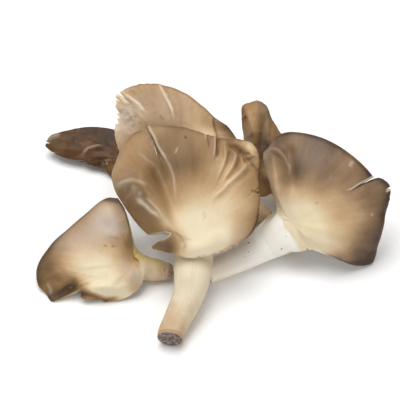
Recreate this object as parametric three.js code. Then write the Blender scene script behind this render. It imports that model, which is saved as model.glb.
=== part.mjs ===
// Oyster mushroom cluster: six picked oyster mushrooms lying in a loose heap on a flat surface.
// Units are millimetres, +Z is up, and the origin lies on the surface under the heap's middle.
//
// Each mushroom grew as one piece, so it is one closed mesh: a fan-shaped cap that leaves its
// stem to one side, gills under the cap that run down on to the stem, and the stem to its cut
// foot. A mushroom is described by its navel, which is the point where stem and cap top meet,
// by the way that the cap faces and spreads, and by spokes from the navel out to the rim.

import * as THREE from "three";

const { sin, cos, abs, min, max, sign, exp, floor, hypot } = Math;
const { clamp, degToRad, lerp, smoothstep } = THREE.MathUtils;

// ---- Sizes that all the mushrooms share, in mm ----

const RIM_FLESH = 1.5; // thickness of a cap at its rim
const HEART_FLESH = 7; // thickness of a cap over its stem
const GILL_DEPTH = 2.6; // how far a gill stands out of the flesh
const GILLED_REACH = [12, 30]; // spokes shorter than the first carry no gills, past the second full ones
const NECK_SWELL = 5; // how far outside the stem's radius the underside turns down into it
const OUTERMOST_NECK = 0.7; // share of a short spoke beyond which it never does so
const NECK_BEND = 1.2; // how strongly the neck keeps to the stem's line before it spreads

// The point of the surface under the heap's middle, in the frame in which the mushrooms are placed.
const HEAP_MIDDLE = [6.6, 81.8, 0];

// Rows of vertices along a spoke, as shares of its length. Rows near the navel and rows round
// the stem keep only every second or fourth column of the mushroom.
const TOP_ROWS = [
  { share: 0.2, every: 4 },
  { share: 0.4, every: 2 },
  { share: 0.5, every: 1 },
  { share: 0.62, every: 1 },
  { share: 0.74, every: 1 },
  { share: 0.84, every: 1 },
  { share: 0.93, every: 1 },
  { share: 1, every: 1 },
];
// From the rim in to the neck: share of that way, and share of the gills' full depth.
const GILL_ROWS = [
  { share: 0, depth: 0 },
  { share: 0.12, depth: 0.6 },
  { share: 0.36, depth: 1 },
  { share: 0.68, depth: 1 },
  { share: 1, depth: 0.6 },
];
const NECK_ROWS = [
  { share: 0.3, depth: 0.4, every: 1 },
  { share: 0.6, depth: 0.2, every: 1 },
  { share: 0.85, depth: 0, every: 2 },
];
const UNTORN = 0.4; // share out to which cuts leave the rows alone
const STEM_ROWS = 7;
const STEM_EVERY = 4;
const MELT_RING = 2; // the stem ring at which a cap that melts into its stem has ended

// A spoke's outer part turns down by its curl, from this share of its length on.
const CURL_START = 0.5;
const STEEPEST = 0.6;
const SPOKE_STEPS = 60;

// ---- The mushrooms ----
//
// spokes: bearing in degrees from the way that the cap spreads, clockwise seen from above;
//   reach out to the rim; lift of the rim over the navel; belly, which is the rise of the middle
//   of the spoke; and curl in degrees.
// stem: centre and radius, from the cut foot to the neck.
// footEdge: how wide the edge of the cut foot is rounded.
// slips: bearing of a tear; depth as a share of the spoke; and the height of the lip after the
//   tear over the lip before it.
// cuts: bearings across a piece missing from the rim, each with the share of the spoke that is left.
// folds: bearing; half the width in degrees; height; and the shares where it begins and is full.
// rolls: ridges and valleys along a line drawn on the cap, in mm from the navel.
// melts: bearing and half the width in degrees of a side where cap and stem have no rim between them.

const MUSHROOMS = [
  {
    name: "centre_mushroom",
    color: 0xb79a78,
    columns: 96,
    navel: [-3, 48.3, 39.6],
    faces: [0.05, -0.45, 0.89],
    spreads: [0, 0.89, 0.45],
    stem: [
      [-16.6, 4.9, 6.8, 7.2],
      [-15.8, 9, 7.3, 7.3],
      [-12, 17.2, 9.4, 7.8],
      [-7.4, 27, 12.8, 8.6],
      [-4.7, 36.6, 17, 9.9],
      [-3.8, 45.3, 20.5, 10.8],
    ],
    footEdge: 0.9,
    spokes: [
      [-131, 11, -3, 1, 0],
      [-106, 17, -7, 2, 0],
      [-93, 24, -12, 4, 5],
      [-77, 27, -17, 7, 15],
      [-62, 43, -18, 9, 20],
      [-46, 68, -13, 9, 20],
      [-27, 73, -3, 4, 10],
      [-8, 67, 3, 2, 10],
      [12, 61, 4, 0, 10],
      [30, 66, 3, -0.6, 20],
      [44, 52, -1, 0, 10],
      [58, 44, -3, 0.3, 10],
      [78, 34, -4, 1, 5],
      [100, 20, -4, 1, 0],
      [126, 12, -3, 1, 0],
      [170, 9, -2, 1, 0],
    ],
    slips: [
      [-23.2, 0.42, 3],
    ],
    cuts: [
      [[-24.4, 1], [-23.2, 0.58], [-22.4, 1]],
      [[-90, 1], [-86.5, 0.65], [-79, 0.53], [-75.5, 0.52], [-73, 1]],
    ],
    folds: [
      [-12, 5, -0.8, 0.4, 0.9],
    ],
    rolls: [
      { line: [[72, -40], [54.5, -36.7], [43.7, -34.2], [30, -31]], halfWidth: 8, height: 2.5 },
      {
        line: [[44, -34], [30.5, -30.5], [20.6, -26.4], [14.9, -21.3], [6, -14]],
        halfWidth: 5, height: 4.5,
      },
      {
        line: [[52, -25], [40.8, -21.2], [32.7, -17.8], [22, -14.9], [12.5, -12.6], [2, -9]],
        halfWidth: 3.6, height: -2.6,
      },
      { line: [[58, 22], [54, 28], [50, 33], [45, 36.5], [38, 38.5]], halfWidth: 4.4, height: 3 },
      { line: [[57, 18], [52.5, 24.5], [49, 28], [45.5, 31], [41, 34.5]], halfWidth: 2.2, height: -1.3 },
      { line: [[48, 31.5], [39.1, 25.2], [35, 21], [29.1, 15.5], [22, 8]], halfWidth: 2.2, height: 1.8 },
    ],
    melts: [],
  },
  {
    name: "right_mushroom",
    color: 0x9c8068,
    columns: 96,
    navel: [52.7, 70.2, 29.7],
    faces: [-0.15, -0.7, 0.7],
    spreads: [0.79, 0.46, 0.41],
    stem: [
      [5, 52.9, 5.8, 6.4],
      [14, 57.1, 6.4, 7],
      [24.5, 62.6, 7.7, 8],
      [35.5, 68.6, 10.8, 9.8],
      [46.8, 75.5, 13, 12.5],
    ],
    footEdge: 0.9,
    spokes: [
      [-160, 8, -1, 0, 0],
      [-130, 9, -2, 0, 0],
      [-110, 10, -3, 1, 0],
      [-97, 12.5, -4, 1, 0],
      [-89, 17.5, -5, 2, 0],
      [-83, 28, -8, 4, 5],
      [-76, 50, -13, 8, 40],
      [-62, 52.4, -10, 5, 20],
      [-42, 51.5, -8, 3, 10],
      [-18, 51, -8, 3, 10],
      [8, 53, -8, 3, 10],
      [13, 57.5, -9, 3, 10],
      [18, 59.5, -9, 3, 10],
      [36, 53, -10, 3, 10],
      [54, 52, -16, 4, 15],
      [66, 53, -21, 4, 10],
      [74, 46, -16, 3, 10],
      [82, 28, -8, 2, 10],
      [97, 19, -5, 1, 0],
      [114, 17, -3, 1, 0],
      [132, 12, -1.5, 0, 0],
      [155, 9, -1, 0, 0],
    ],
    slips: [
      [9.4, 0.4, -1.4],
    ],
    cuts: [
      [[8.6, 1], [9.4, 0.68], [10.4, 1]],
    ],
    folds: [
      [-52, 5, 0.5, 0.4, 0.9],
      [-38, 6, -0.4, 0.4, 0.9],
      [34, 7, -0.5, 0.4, 0.9],
      [52, 5, 0.6, 0.4, 0.9],
    ],
    rolls: [
      { line: [[20, -46], [14, -36], [10.5, -26], [6.5, -18], [2.5, -11]], halfWidth: 4.2, height: 4.8 },
      { line: [[27, -38], [20, -28], [15, -20], [8, -12]], halfWidth: 4, height: -3.2 },
      { line: [[4, -12], [0, -4], [-2.4, 8.9], [-3.8, 17]], halfWidth: 2.6, height: -1.3 },
    ],
    melts: [[-180, 74]],
  },
  {
    name: "left_mushroom",
    color: 0xbfa283,
    columns: 80,
    navel: [-38, 50.1, 17],
    faces: [-0.1, -0.42, 0.9],
    spreads: [-1, 0.25, 0.1],
    stem: [
      [-19.4, 53.8, 5.4, 5.2],
      [-24.2, 54, 6.2, 6.2],
      [-29.5, 54.2, 7.2, 6.8],
    ],
    footEdge: 3.5,
    spokes: [
      [-165, 7, -2, 0, 0],
      [-140, 9, -3, 1, 0],
      [-124, 11.5, -4, 1, 0],
      [-107, 14.5, -5, 2, 0],
      [-89, 18.5, -6, 3, 0],
      [-74, 23, -6, 3, 0],
      [-60, 31, -6, 4, 0],
      [-50, 43, -5, 3, 0],
      [-39, 51.5, -3, 2, 0],
      [-32, 53, -4, 2, 0],
      [-25, 56.5, -4, 2, 0],
      [-17, 57.5, -5, 3, 5],
      [0, 53, -5, 3, 15],
      [16, 46, -3, 3, 15],
      [34, 43.5, -3, 2, 15],
      [50, 44.5, -2, 1, 15],
      [60, 42, -1, 0, 10],
      [65, 33, 0, 0, 5],
      [69, 16, 0, 0, 0],
      [76, 8, 0, 0, 0],
      [90, 6, -1, 0, 0],
      [145, 6, -2, 0, 0],
    ],
    slips: [],
    cuts: [
      [
        [-74, 1], [-66, 0.96], [-60, 0.88], [-54, 0.82], [-49, 0.785], [-46, 0.755], [-43.5, 0.685],
        [-40, 0.65], [-38, 1],
      ],
    ],
    folds: [
      [30, 8, 0.4, 0.3, 0.9],
    ],
    rolls: [
      { line: [[41, -30], [35, -25], [31, -19.5], [30, -15]], halfWidth: 3, height: -2 },
      {
        line: [[29, -23], [27, -19.5], [21, -20], [14.8, -18.2], [6.5, -17.5], [-1.3, -13.6], [-6, -8]],
        halfWidth: 2.3, height: 1.7,
      },
      { line: [[28, -14], [20, -14.5], [12, -13.5], [4, -11]], halfWidth: 3, height: -0.8 },
      { line: [[34, 34], [22, 25], [10, 17]], halfWidth: 5.5, height: 1.6 },
      { line: [[27, 15], [16, 17.5], [5, 15]], halfWidth: 4, height: -0.8 },
    ],
    melts: [[147, 80]],
  },
  {
    name: "back_mushroom",
    color: 0xc4a986,
    columns: 96,
    navel: [-8.8, 108, 46],
    faces: [-0.05, -0.5, 0.86],
    spreads: [-0.42, 0.78, 0.43],
    stem: [
      [38.5, 92, 6.4, 7],
      [31, 95.5, 10, 7.6],
      [22, 99, 15, 8.2],
      [10.5, 103, 22, 8.6],
      [-0.5, 107, 29.5, 9],
    ],
    footEdge: 0.9,
    spokes: [
      [-145, 12, -1, 0, 0],
      [-100, 20, -5, 2, 0],
      [-70, 34, -7, 3, 0],
      [-46, 44, -4, 3, 5],
      [-32, 48.5, -2, 3, 10],
      [-22, 55.5, -1, 4, 10],
      [-10, 53, 0, 4, 10],
      [8, 45.5, 0, 4, 15],
      [24, 38.5, 0, 3, 15],
      [44, 32, -2, 3, 15],
      [60, 30.5, -5, 4, 20],
      [78, 33, -8, 5, 20],
      [98, 33, -8, 4, 15],
      [120, 21, -3, 2, 5],
      [145, 13, -0.5, 0, 0],
      [178, 10, 0, 0, 0],
    ],
    slips: [],
    cuts: [
      [[-22.5, 1], [-20.2, 0.9], [-18, 1]],
    ],
    folds: [
      [-36, 4, -0.6, 0.3, 0.8],
      [-24, 4, 0.9, 0.3, 0.8],
      [-10, 5, -0.5, 0.3, 0.8],
      [24, 5, -0.5, 0.3, 0.8],
    ],
    rolls: [
      { line: [[52, 5.5], [44, 5], [35, 4.9], [27, 4.7], [20, 3.4]], halfWidth: 2.2, height: 1.2 },
      { line: [[16, 30], [12, 25], [6, 22], [-2, 22]], halfWidth: 3, height: 1.4 },
    ],
    melts: [],
  },
  {
    name: "far_left_mushroom",
    color: 0x7b6250,
    columns: 64,
    navel: [-46, 138, 10.2],
    faces: [-0.12, -0.42, 0.9],
    spreads: [-1, 0.05, -0.1],
    stem: [
      [-24, 130, 4.8, 4.6],
      [-30, 133.3, 4.8, 4.6],
      [-37, 137, 4.8, 4.8],
    ],
    footEdge: 0.9,
    spokes: [
      [-150, 8, -1, 0, 0],
      [-90, 10, -2, 0, 0],
      [-50, 12, -2, 0, 0],
      [-20, 13, -2, 0, 0],
      [-7, 19.5, -1.5, 0, 0],
      [-3, 24, -1, 1, 0],
      [1, 26, -1, 1, 0],
      [4, 35, -1, 1, 0],
      [8, 44.5, -1, 2, 0],
      [14, 52.3, 0, 2, 5],
      [18, 51.8, 0, 2, 5],
      [28, 43.6, 0, 2, 5],
      [38, 36.1, 0, 1, 5],
      [54, 27, 0, 1, 5],
      [70, 21, 0, 0, 0],
      [105, 13, 0, 0, 0],
      [150, 9, -1, 0, 0],
    ],
    slips: [],
    cuts: [
      [[1.2, 1], [2.8, 0.84], [4, 1]],
    ],
    folds: [
      [22, 4, 0.5, 0.3, 0.8],
      [34, 5, -0.5, 0.3, 0.8],
    ],
    rolls: [
      { line: [[29, 1], [25.5, 4], [22.5, 7.3], [17, 9], [12, 9.5]], halfWidth: 2.2, height: 1.1 },
    ],
    melts: [[-170, 85]],
  },
  {
    name: "back_right_mushroom",
    color: 0xa68a6c,
    columns: 64,
    navel: [42, 117.7, 26.7],
    faces: [-0.1, -0.6, 0.8],
    spreads: [-0.3, 0.75, 0.55],
    stem: [
      [61, 103, 5.4, 5.8],
      [54, 108, 8.5, 5.8],
      [47, 113.5, 12.5, 6],
    ],
    footEdge: 0.9,
    spokes: [
      [-142, 18.5, -3, 1, 0],
      [-105, 14, -4, 1, 0],
      [-50, 17, -6, 3, 10],
      [-24, 26, -6, 4, 20],
      [-14, 34, -4, 4, 20],
      [-6, 41.5, -1.5, 4, 15],
      [5, 41, -1.2, 3, 12],
      [13, 38, -3, 2, 15],
      [19, 29, -4, 2, 10],
      [34, 21, -5, 2, 5],
      [62, 17, -5, 1, 0],
      [110, 12, -2, 1, 0],
      [165, 10, -0.5, 0, 0],
    ],
    slips: [],
    cuts: [],
    folds: [
      [-12, 9, 1.2, 0.2, 0.7],
      [13, 8, -2, 0.2, 0.7],
      [2, 3, -0.9, 0.75, 1],
    ],
    rolls: [
      { line: [[34, 7], [27.5, 4.6], [21.8, 1.7], [16.4, -0.6], [8, -3]], halfWidth: 2.6, height: -2.4 },
      { line: [[40, -3], [33, -2.3], [26, -3], [18, -5]], halfWidth: 3, height: 1.4 },
    ],
    melts: [],
  },
];

// ---- Shape of a cap ----

const vector = ([x, y, z]) => new THREE.Vector3(x, y, z);

// The shorter way round from one bearing to another, in degrees from -180 to 180.
const turnBetween = (from, to) => to - from - 360 * floor((to - from) / 360 + 0.5);

// One column of the spoke table as a smooth closed curve over the bearing. Its slope is the
// harmonic mean of the slopes on both sides, so that it never overshoots a spoke.
function aroundNavel(spokes, column, bearing) {
  const count = spokes.length;
  const at = (i) => spokes[((i % count) + count) % count];
  const knot = (i) => at(i)[0] + 360 * floor(i / count);
  const rise = (i) => (at(i + 1)[column] - at(i)[column]) / (knot(i + 1) - knot(i));
  const slope = (i) => {
    const [before, after] = [rise(i - 1), rise(i)];
    return before * after > 0 ? (2 * before * after) / (before + after) : 0;
  };
  const wrapped = bearing - 360 * floor((bearing - knot(0)) / 360);
  let i = 0;
  while (knot(i + 1) <= wrapped) i += 1;
  const span = knot(i + 1) - knot(i);
  const s = (wrapped - knot(i)) / span;
  return (
    (1 + 2 * s) * (1 - s) ** 2 * at(i)[column] +
    s * s * (3 - 2 * s) * at(i + 1)[column] +
    s * (1 - s) ** 2 * span * slope(i) +
    s * s * (s - 1) * span * slope(i + 1)
  );
}

// How far a point of the cap's plane lies from a drawn line, and the share of the line that lies
// before it.
function distanceToLine(p, q, line) {
  let nearest = Infinity;
  let passed = 0;
  let share = 0;
  for (let i = 1; i < line.length; i += 1) {
    const [[ax, ay], [bx, by]] = [line[i - 1], line[i]];
    const length = hypot(bx - ax, by - ay);
    const t = clamp(((p - ax) * (bx - ax) + (q - ay) * (by - ay)) / length ** 2, 0, 1);
    const away = hypot(p - ax - t * (bx - ax), q - ay - t * (by - ay));
    if (away < nearest) {
      nearest = away;
      share = passed + t * length;
    }
    passed += length;
  }
  return { away: nearest, along: share / passed };
}

// The cap of a mushroom: point(bearing, share) on its top.
function capOf({ navel, faces, spreads, spokes, slips, cuts, folds, rolls }) {
  const up = vector(faces).normalize();
  const fan = vector(spreads).projectOnPlane(up).normalize();
  const side = fan.clone().cross(up);
  const heart = vector(navel);
  const reach = (bearing) => aroundNavel(spokes, 1, bearing);

  // Height over the navel along an uncurled spoke.
  function height(bearing, share, length, torn) {
    const angle = degToRad(bearing);
    let z = aroundNavel(spokes, 2, bearing) * share ** 2;
    z += aroundNavel(spokes, 3, bearing) * (4 * share * (1 - share)) ** 2;
    for (const [at, halfWidth, rise, from, full] of folds) {
      z += rise * exp(-((turnBetween(at, bearing) / halfWidth) ** 2)) * smoothstep(share, from, full);
    }
    for (const { line, halfWidth, height: rise } of rolls) {
      const radius = length * share;
      const { away, along } = distanceToLine(radius * cos(angle), radius * sin(angle), line);
      z += rise * exp(-((away / halfWidth) ** 2)) * smoothstep(min(along, 1 - along), 0, 0.25);
    }
    if (torn) {
      for (const [at, depth, step] of slips) {
        const away = turnBetween(at, bearing);
        z += 0.5 * step * sign(away) * exp(-abs(away) / 18) * smoothstep(share, 1 - depth, 1);
      }
    }
    return z;
  }

  // The way out and up along a spoke, at even steps of its length. Each spoke is worked out once.
  const spokeCurves = new Map();
  function spokeCurve(bearing, torn) {
    const key = `${bearing} ${torn}`;
    if (spokeCurves.has(key)) return spokeCurves.get(key);
    const length = reach(bearing);
    const curl = degToRad(aroundNavel(spokes, 4, bearing));
    const curve = [{ out: 0, lift: 0 }];
    let before = height(bearing, 0, length, torn);
    for (let k = 1; k <= SPOKE_STEPS; k += 1) {
      const after = height(bearing, k / SPOKE_STEPS, length, torn);
      const turn = curl * max(0, ((k - 0.5) / SPOKE_STEPS - CURL_START) / (1 - CURL_START)) ** 2;
      const run = length / SPOKE_STEPS;
      curve.push({
        out: curve[k - 1].out + run * cos(turn) + (after - before) * sin(turn),
        lift: curve[k - 1].lift + (after - before) * cos(turn) - run * sin(turn),
      });
      before = after;
    }
    spokeCurves.set(key, curve);
    return curve;
  }

  function point(bearing, share, torn = true) {
    const curve = spokeCurve(bearing, torn);
    const place = clamp(share, 0, 1) * SPOKE_STEPS;
    const step = min(SPOKE_STEPS - 1, floor(place));
    const out = lerp(curve[step].out, curve[step + 1].out, place - step);
    const lift = lerp(curve[step].lift, curve[step + 1].lift, place - step);
    const angle = degToRad(bearing);
    return heart
      .clone()
      .addScaledVector(fan, out * cos(angle))
      .addScaledVector(side, out * sin(angle))
      .addScaledVector(up, lift);
  }

  // How square the top stands to the cap's own upright there, from STEEPEST to 1.
  function steepness(bearing, share) {
    const across = point(bearing + 1, share, false).sub(point(bearing - 1, share, false));
    const along = point(bearing, share + 0.02, false).sub(point(bearing, share - 0.02, false));
    return max(STEEPEST, abs(along.cross(across).normalize().dot(up)));
  }

  // The share of a spoke at which the torn rim stands.
  function rimShare(bearing) {
    let share = 1;
    for (const cut of cuts) {
      for (let i = 1; i < cut.length; i += 1) {
        const [[from, left], [to, right]] = [cut[i - 1], cut[i]];
        const passed = turnBetween(from, bearing) / (to - from);
        if (passed >= 0 && passed < 1) share *= lerp(left, right, passed);
      }
    }
    return share;
  }

  return { up, fan, side, heart, reach, point, steepness, rimShare };
}

// Bearings of a mushroom's columns, spaced along the rim, with a column on each corner of a cut.
function columnBearings({ columns, spokes, cuts }, reach) {
  const passed = [0];
  for (let degree = 0; degree < 360; degree += 1) passed.push(passed[degree] + reach(degree - 180) + 18);
  const bearings = [];
  for (let i = 0; i < columns; i += 1) {
    const wanted = (i / columns) * passed[360];
    const degree = passed.findIndex((length) => length > wanted) - 1;
    bearings.push(degree - 180 + (wanted - passed[degree]) / (passed[degree + 1] - passed[degree]));
  }
  for (const cut of cuts) {
    let last = -1;
    for (const [at] of cut) {
      const away = bearings.map((bearing, i) => (i > last ? abs(turnBetween(at, bearing)) : Infinity));
      last = away.indexOf(min(...away));
      bearings[last] = at;
    }
  }
  return bearings;
}

// ---- Shape of a stem ----

// Centre and radius on a smooth curve through the stem's points, at a share from foot to neck.
function alongStem(points, share) {
  const last = points.length - 1;
  const at = (i) => {
    if (i < 0) return points[0].map((value, k) => 2 * value - points[1][k]);
    if (i > last) return points[last].map((value, k) => 2 * value - points[last - 1][k]);
    return points[i];
  };
  const i = min(last - 1, floor(share * last));
  const s = share * last - i;
  return points[0].map((_, k) => {
    const [a, b, c, d] = [at(i - 1)[k], at(i)[k], at(i + 1)[k], at(i + 2)[k]];
    return b + 0.5 * s * (c - a + s * (2 * a - 5 * b + 4 * c - d + s * (3 * (b - c) + d - a)));
  });
}

// Rings from the neck down to the foot. Each has a centre, a radius and the two directions that
// carry the bearings round the stem, turned from the cap's own as little as the bend asks for.
function stemRings({ stem }, cap) {
  const rings = [];
  let axis = cap.up.clone();
  let fan = cap.fan.clone();
  let side = cap.side.clone();
  for (let row = 0; row <= STEM_ROWS; row += 1) {
    const share = 1 - row / STEM_ROWS;
    const [x, y, z, radius] = alongStem(stem, share);
    const above = vector(alongStem(stem, min(1, share + 0.05)));
    const below = vector(alongStem(stem, max(0, share - 0.05)));
    const next = above.sub(below).normalize();
    const turn = new THREE.Quaternion().setFromUnitVectors(axis, next);
    fan = fan.clone().applyQuaternion(turn);
    side = side.clone().applyQuaternion(turn);
    axis = next;
    rings.push({ centre: new THREE.Vector3(x, y, z), radius, axis, fan, side });
  }
  return rings;
}

function onRing({ centre, radius, axis, fan, side }, bearing, scale = 1, down = 0) {
  const angle = degToRad(bearing);
  return centre
    .clone()
    .addScaledVector(fan, radius * scale * cos(angle))
    .addScaledVector(side, radius * scale * sin(angle))
    .addScaledVector(axis, -down);
}

// ---- One mushroom as a closed mesh ----

// Points of a smooth path from a to b, which leaves a along out and reaches b along into.
function bridge(a, out, b, into, share) {
  const size = a.distanceTo(b);
  const s = share;
  return a
    .clone()
    .multiplyScalar((1 + 2 * s) * (1 - s) ** 2)
    .addScaledVector(b, s * s * (3 - 2 * s))
    .addScaledVector(out, size * s * (1 - s) ** 2)
    .addScaledVector(into, NECK_BEND * size * s * s * (s - 1));
}

function mushroomGeometry(mushroom) {
  const cap = capOf(mushroom);
  const bearings = columnBearings(mushroom, cap.reach);
  const rings = stemRings(mushroom, cap);
  const [neck] = rings;
  const positions = [];
  const faces = [];

  const addVertex = (p) => positions.push(p) - 1;
  function addRow(every, place) {
    const kept = bearings.filter((_, i) => i % every === 0);
    return kept.map((b, i) => addVertex(place(b, i * every)));
  }

  // Joins two rows. Where one has half as many columns as the other, it fans out between them.
  // The diagonals of a quad run the same way on the cap's top and underside.
  function join(a, b, outward) {
    const [few, many, flip] = a.length <= b.length ? [a, b, false] : [b, a, true];
    const face = (p, q, r) => faces.push(flip ? [p, r, q] : [p, q, r]);
    for (let i = 0; i < few.length; i += 1) {
      const j = (i + 1) % few.length;
      if (few.length === many.length) {
        if (outward) {
          face(few[i], few[j], many[j]);
          face(few[i], many[j], many[i]);
        } else {
          face(few[i], few[j], many[i]);
          face(few[j], many[j], many[i]);
        }
      } else {
        const [m0, m1, m2] = [many[2 * i], many[2 * i + 1], many[(2 * i + 2) % many.length]];
        face(few[i], m1, m0);
        face(few[i], few[j], m1);
        face(few[j], m2, m1);
      }
    }
  }

  function close(row, middle, outward) {
    row.forEach((vertex, i) => {
      const next = row[(i + 1) % row.length];
      faces.push(outward ? [middle, next, vertex] : [middle, vertex, next]);
    });
  }

  // Where the cap melts into the stem, the rows under the rim follow one smooth sweep that ends
  // at a ring of the stem. This is how much of a bearing does.
  const melt = (b) =>
    mushroom.melts.reduce((most, [at, halfWidth]) => {
      return max(most, exp(-((turnBetween(at, b) / halfWidth) ** 8)));
    }, 0);
  const sweepRows = GILL_ROWS.length + NECK_ROWS.length + MELT_RING;
  let swept = 0;
  function melted(b, place) {
    const rim = cap.rimShare(b);
    const start = cap.point(b, rim);
    const end = onRing(rings[MELT_RING], b);
    const outward = start.clone().sub(cap.point(b, rim - 0.02)).normalize();
    const leaving = end.clone().sub(start).normalize().addScaledVector(outward, 0.6).normalize();
    const down = rings[MELT_RING].axis.clone().negate();
    const sweep = bridge(start, leaving, end, down, swept / (sweepRows + 1));
    return place.lerp(sweep, melt(b));
  }
  function addLowerRow(every, place) {
    swept += 1;
    return addRow(every, (b, i) => (swept <= sweepRows ? melted(b, place(b, i)) : place(b, i)));
  }

  // Top of the cap, from the navel out.
  const navel = addVertex(cap.heart.clone());
  let row = null;
  for (const { share, every } of TOP_ROWS) {
    const past = max(0, share - UNTORN) / (1 - UNTORN);
    const next = addRow(every, (b) => cap.point(b, min(share, UNTORN) + past * (cap.rimShare(b) - UNTORN)));
    if (row) join(row, next, true);
    else close(next, navel, true);
    row = next;
  }

  // Underside with its gills, from the rim in. Every second column is the edge of a gill.
  const gilled = (b) => smoothstep(cap.reach(b), ...GILLED_REACH) * (1 - melt(b));
  function neckShare(b) {
    const angle = degToRad(b);
    const offset = onRing(neck, b).sub(cap.heart);
    const stemSide = offset.dot(cap.fan) * cos(angle) + offset.dot(cap.side) * sin(angle);
    const wanted = (max(neck.radius, stemSide) + NECK_SWELL) / cap.reach(b);
    return min(0.9 * cap.rimShare(b), wanted / (1 + (wanted / OUTERMOST_NECK) ** 3) ** (1 / 3));
  }
  const gill = (b, i, depth) => (i % 2) * GILL_DEPTH * depth * gilled(b);
  function underside(b, i, inward, depth) {
    const share = lerp(cap.rimShare(b), neckShare(b), inward);
    const flesh = lerp(RIM_FLESH, HEART_FLESH, max(0, 1 - share) ** 1.6) / cap.steepness(b, share);
    return cap.point(b, share).addScaledVector(cap.up, -flesh - gill(b, i, depth));
  }
  for (const { share, depth } of GILL_ROWS) {
    const next = addLowerRow(1, (b, i) => underside(b, i, share, depth));
    join(row, next, false);
    row = next;
  }

  // Neck, where the underside turns down into the stem.
  for (const { share, depth, every } of NECK_ROWS) {
    const next = addLowerRow(every, (b, i) => {
      const start = underside(b, 0, 1, 0);
      const end = onRing(neck, b);
      const straight = end.clone().sub(start).normalize();
      const inward = start.clone().sub(underside(b, 0, 0.9, 0)).normalize().lerp(straight, 1 - gilled(b));
      const place = bridge(start, inward, end, neck.axis.clone().negate(), share);
      const outward = end.clone().sub(neck.centre).normalize();
      const hanging = cap.up.clone().negate().lerp(outward, share);
      return place.addScaledVector(hanging, gill(b, i, depth));
    });
    join(row, next, false);
    row = next;
  }

  // Stem, and the cut foot with its rounded edge.
  for (const ring of rings) {
    const next = addLowerRow(STEM_EVERY, (b) => onRing(ring, b));
    join(row, next, false);
    row = next;
  }
  const foot = rings[STEM_ROWS];
  const { footEdge } = mushroom;
  for (const turn of [Math.PI / 4, Math.PI / 2]) {
    const scale = 1 - (footEdge / foot.radius) * (1 - cos(turn));
    const next = addRow(STEM_EVERY, (b) => onRing(foot, b, scale, footEdge * sin(turn)));
    join(row, next, false);
    row = next;
  }
  close(row, addVertex(foot.centre.clone().addScaledVector(foot.axis, -footEdge)), false);

  // What would lie below the surface is pressed flat by the mushroom's own weight.
  positions.forEach((p) => {
    p.z = max(p.z, 0);
  });
  const geometry = new THREE.BufferGeometry().setFromPoints(positions.map((p) => p.clone().sub(cap.heart)));
  geometry.setIndex(faces.flat());
  geometry.computeVertexNormals();
  return geometry;
}

// ---- The heap ----

const heap = new THREE.Group();
for (const mushroom of MUSHROOMS) {
  const skin = new THREE.MeshStandardMaterial({ color: mushroom.color, roughness: 0.6, metalness: 0 });
  const mesh = new THREE.Mesh(mushroomGeometry(mushroom), skin);
  mesh.name = mushroom.name;
  mesh.position.copy(vector(mushroom.navel)).sub(vector(HEAP_MIDDLE));
  heap.add(mesh);
}

export default heap;
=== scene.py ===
from collections import namedtuple
from math import cos, pi, radians, sin

import bmesh
import bpy
import numpy as np
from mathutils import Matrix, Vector


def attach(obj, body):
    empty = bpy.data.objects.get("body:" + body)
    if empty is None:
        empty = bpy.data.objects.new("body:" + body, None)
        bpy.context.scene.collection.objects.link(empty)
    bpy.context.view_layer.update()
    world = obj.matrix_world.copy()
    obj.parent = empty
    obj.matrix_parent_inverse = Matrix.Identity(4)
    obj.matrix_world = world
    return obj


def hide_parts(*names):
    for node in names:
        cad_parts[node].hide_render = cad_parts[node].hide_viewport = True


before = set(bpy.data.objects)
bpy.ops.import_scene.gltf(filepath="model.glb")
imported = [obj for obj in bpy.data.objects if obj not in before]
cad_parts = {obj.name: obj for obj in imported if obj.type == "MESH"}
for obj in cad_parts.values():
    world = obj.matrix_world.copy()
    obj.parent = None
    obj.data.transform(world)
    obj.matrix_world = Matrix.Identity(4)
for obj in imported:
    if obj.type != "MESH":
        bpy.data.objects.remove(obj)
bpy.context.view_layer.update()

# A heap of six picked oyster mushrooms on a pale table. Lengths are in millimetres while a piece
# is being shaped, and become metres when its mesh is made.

# ---- Table top and studio light ----
#
# A matt white table under a large soft light from above and behind, with a weaker one in front and
# white walls all round. The camera looks down on the heap from the side of the central foot.

MM = 0.001  # metres in a millimetre
TABLE_SIZE = 4.0  # metres, as all lengths of the table, the lights and the view are
LIGHT_AIM = Vector((0, 0, 0.02))
SOFT_BOX_SIZE = (1.0, 0.8)
WINDOW_POWER = 12.6  # watts
FILL_POWER = 3.6
WALL_BRIGHTNESS = 0.345
VIEW_MIDDLE = Vector((-6.6, 11.2, 23.5)) * MM
VIEW_DISTANCE = 0.9
VIEW_DOWN = radians(48)  # how far the camera looks down
VIEW_WIDTH = 0.2344  # width of the view at the middle of the heap
SENSOR = 36  # width of the camera's sensor, in millimetres


def white_table():
    bpy.ops.mesh.primitive_plane_add(size=TABLE_SIZE)
    table = bpy.context.object
    table.name = "table_top"
    surface = bpy.data.materials.new("white table top")
    surface.use_nodes = True
    shader = surface.node_tree.nodes["Principled BSDF"]
    shader.inputs["Base Color"].default_value = (0.97, 0.97, 0.97, 1)
    shader.inputs["Roughness"].default_value = 0.8
    shader.inputs["Specular IOR Level"].default_value = 0.1
    table.data.materials.append(surface)


def soft_box(name, place, power):
    lamp = bpy.data.lights.new(name, "AREA")
    lamp.shape = "RECTANGLE"
    lamp.size, lamp.size_y = SOFT_BOX_SIZE
    lamp.energy = power
    holder = bpy.data.objects.new(name, lamp)
    holder.location = place
    holder.rotation_euler = (LIGHT_AIM - Vector(place)).to_track_quat("-Z", "Y").to_euler()
    bpy.context.scene.collection.objects.link(holder)


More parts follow.
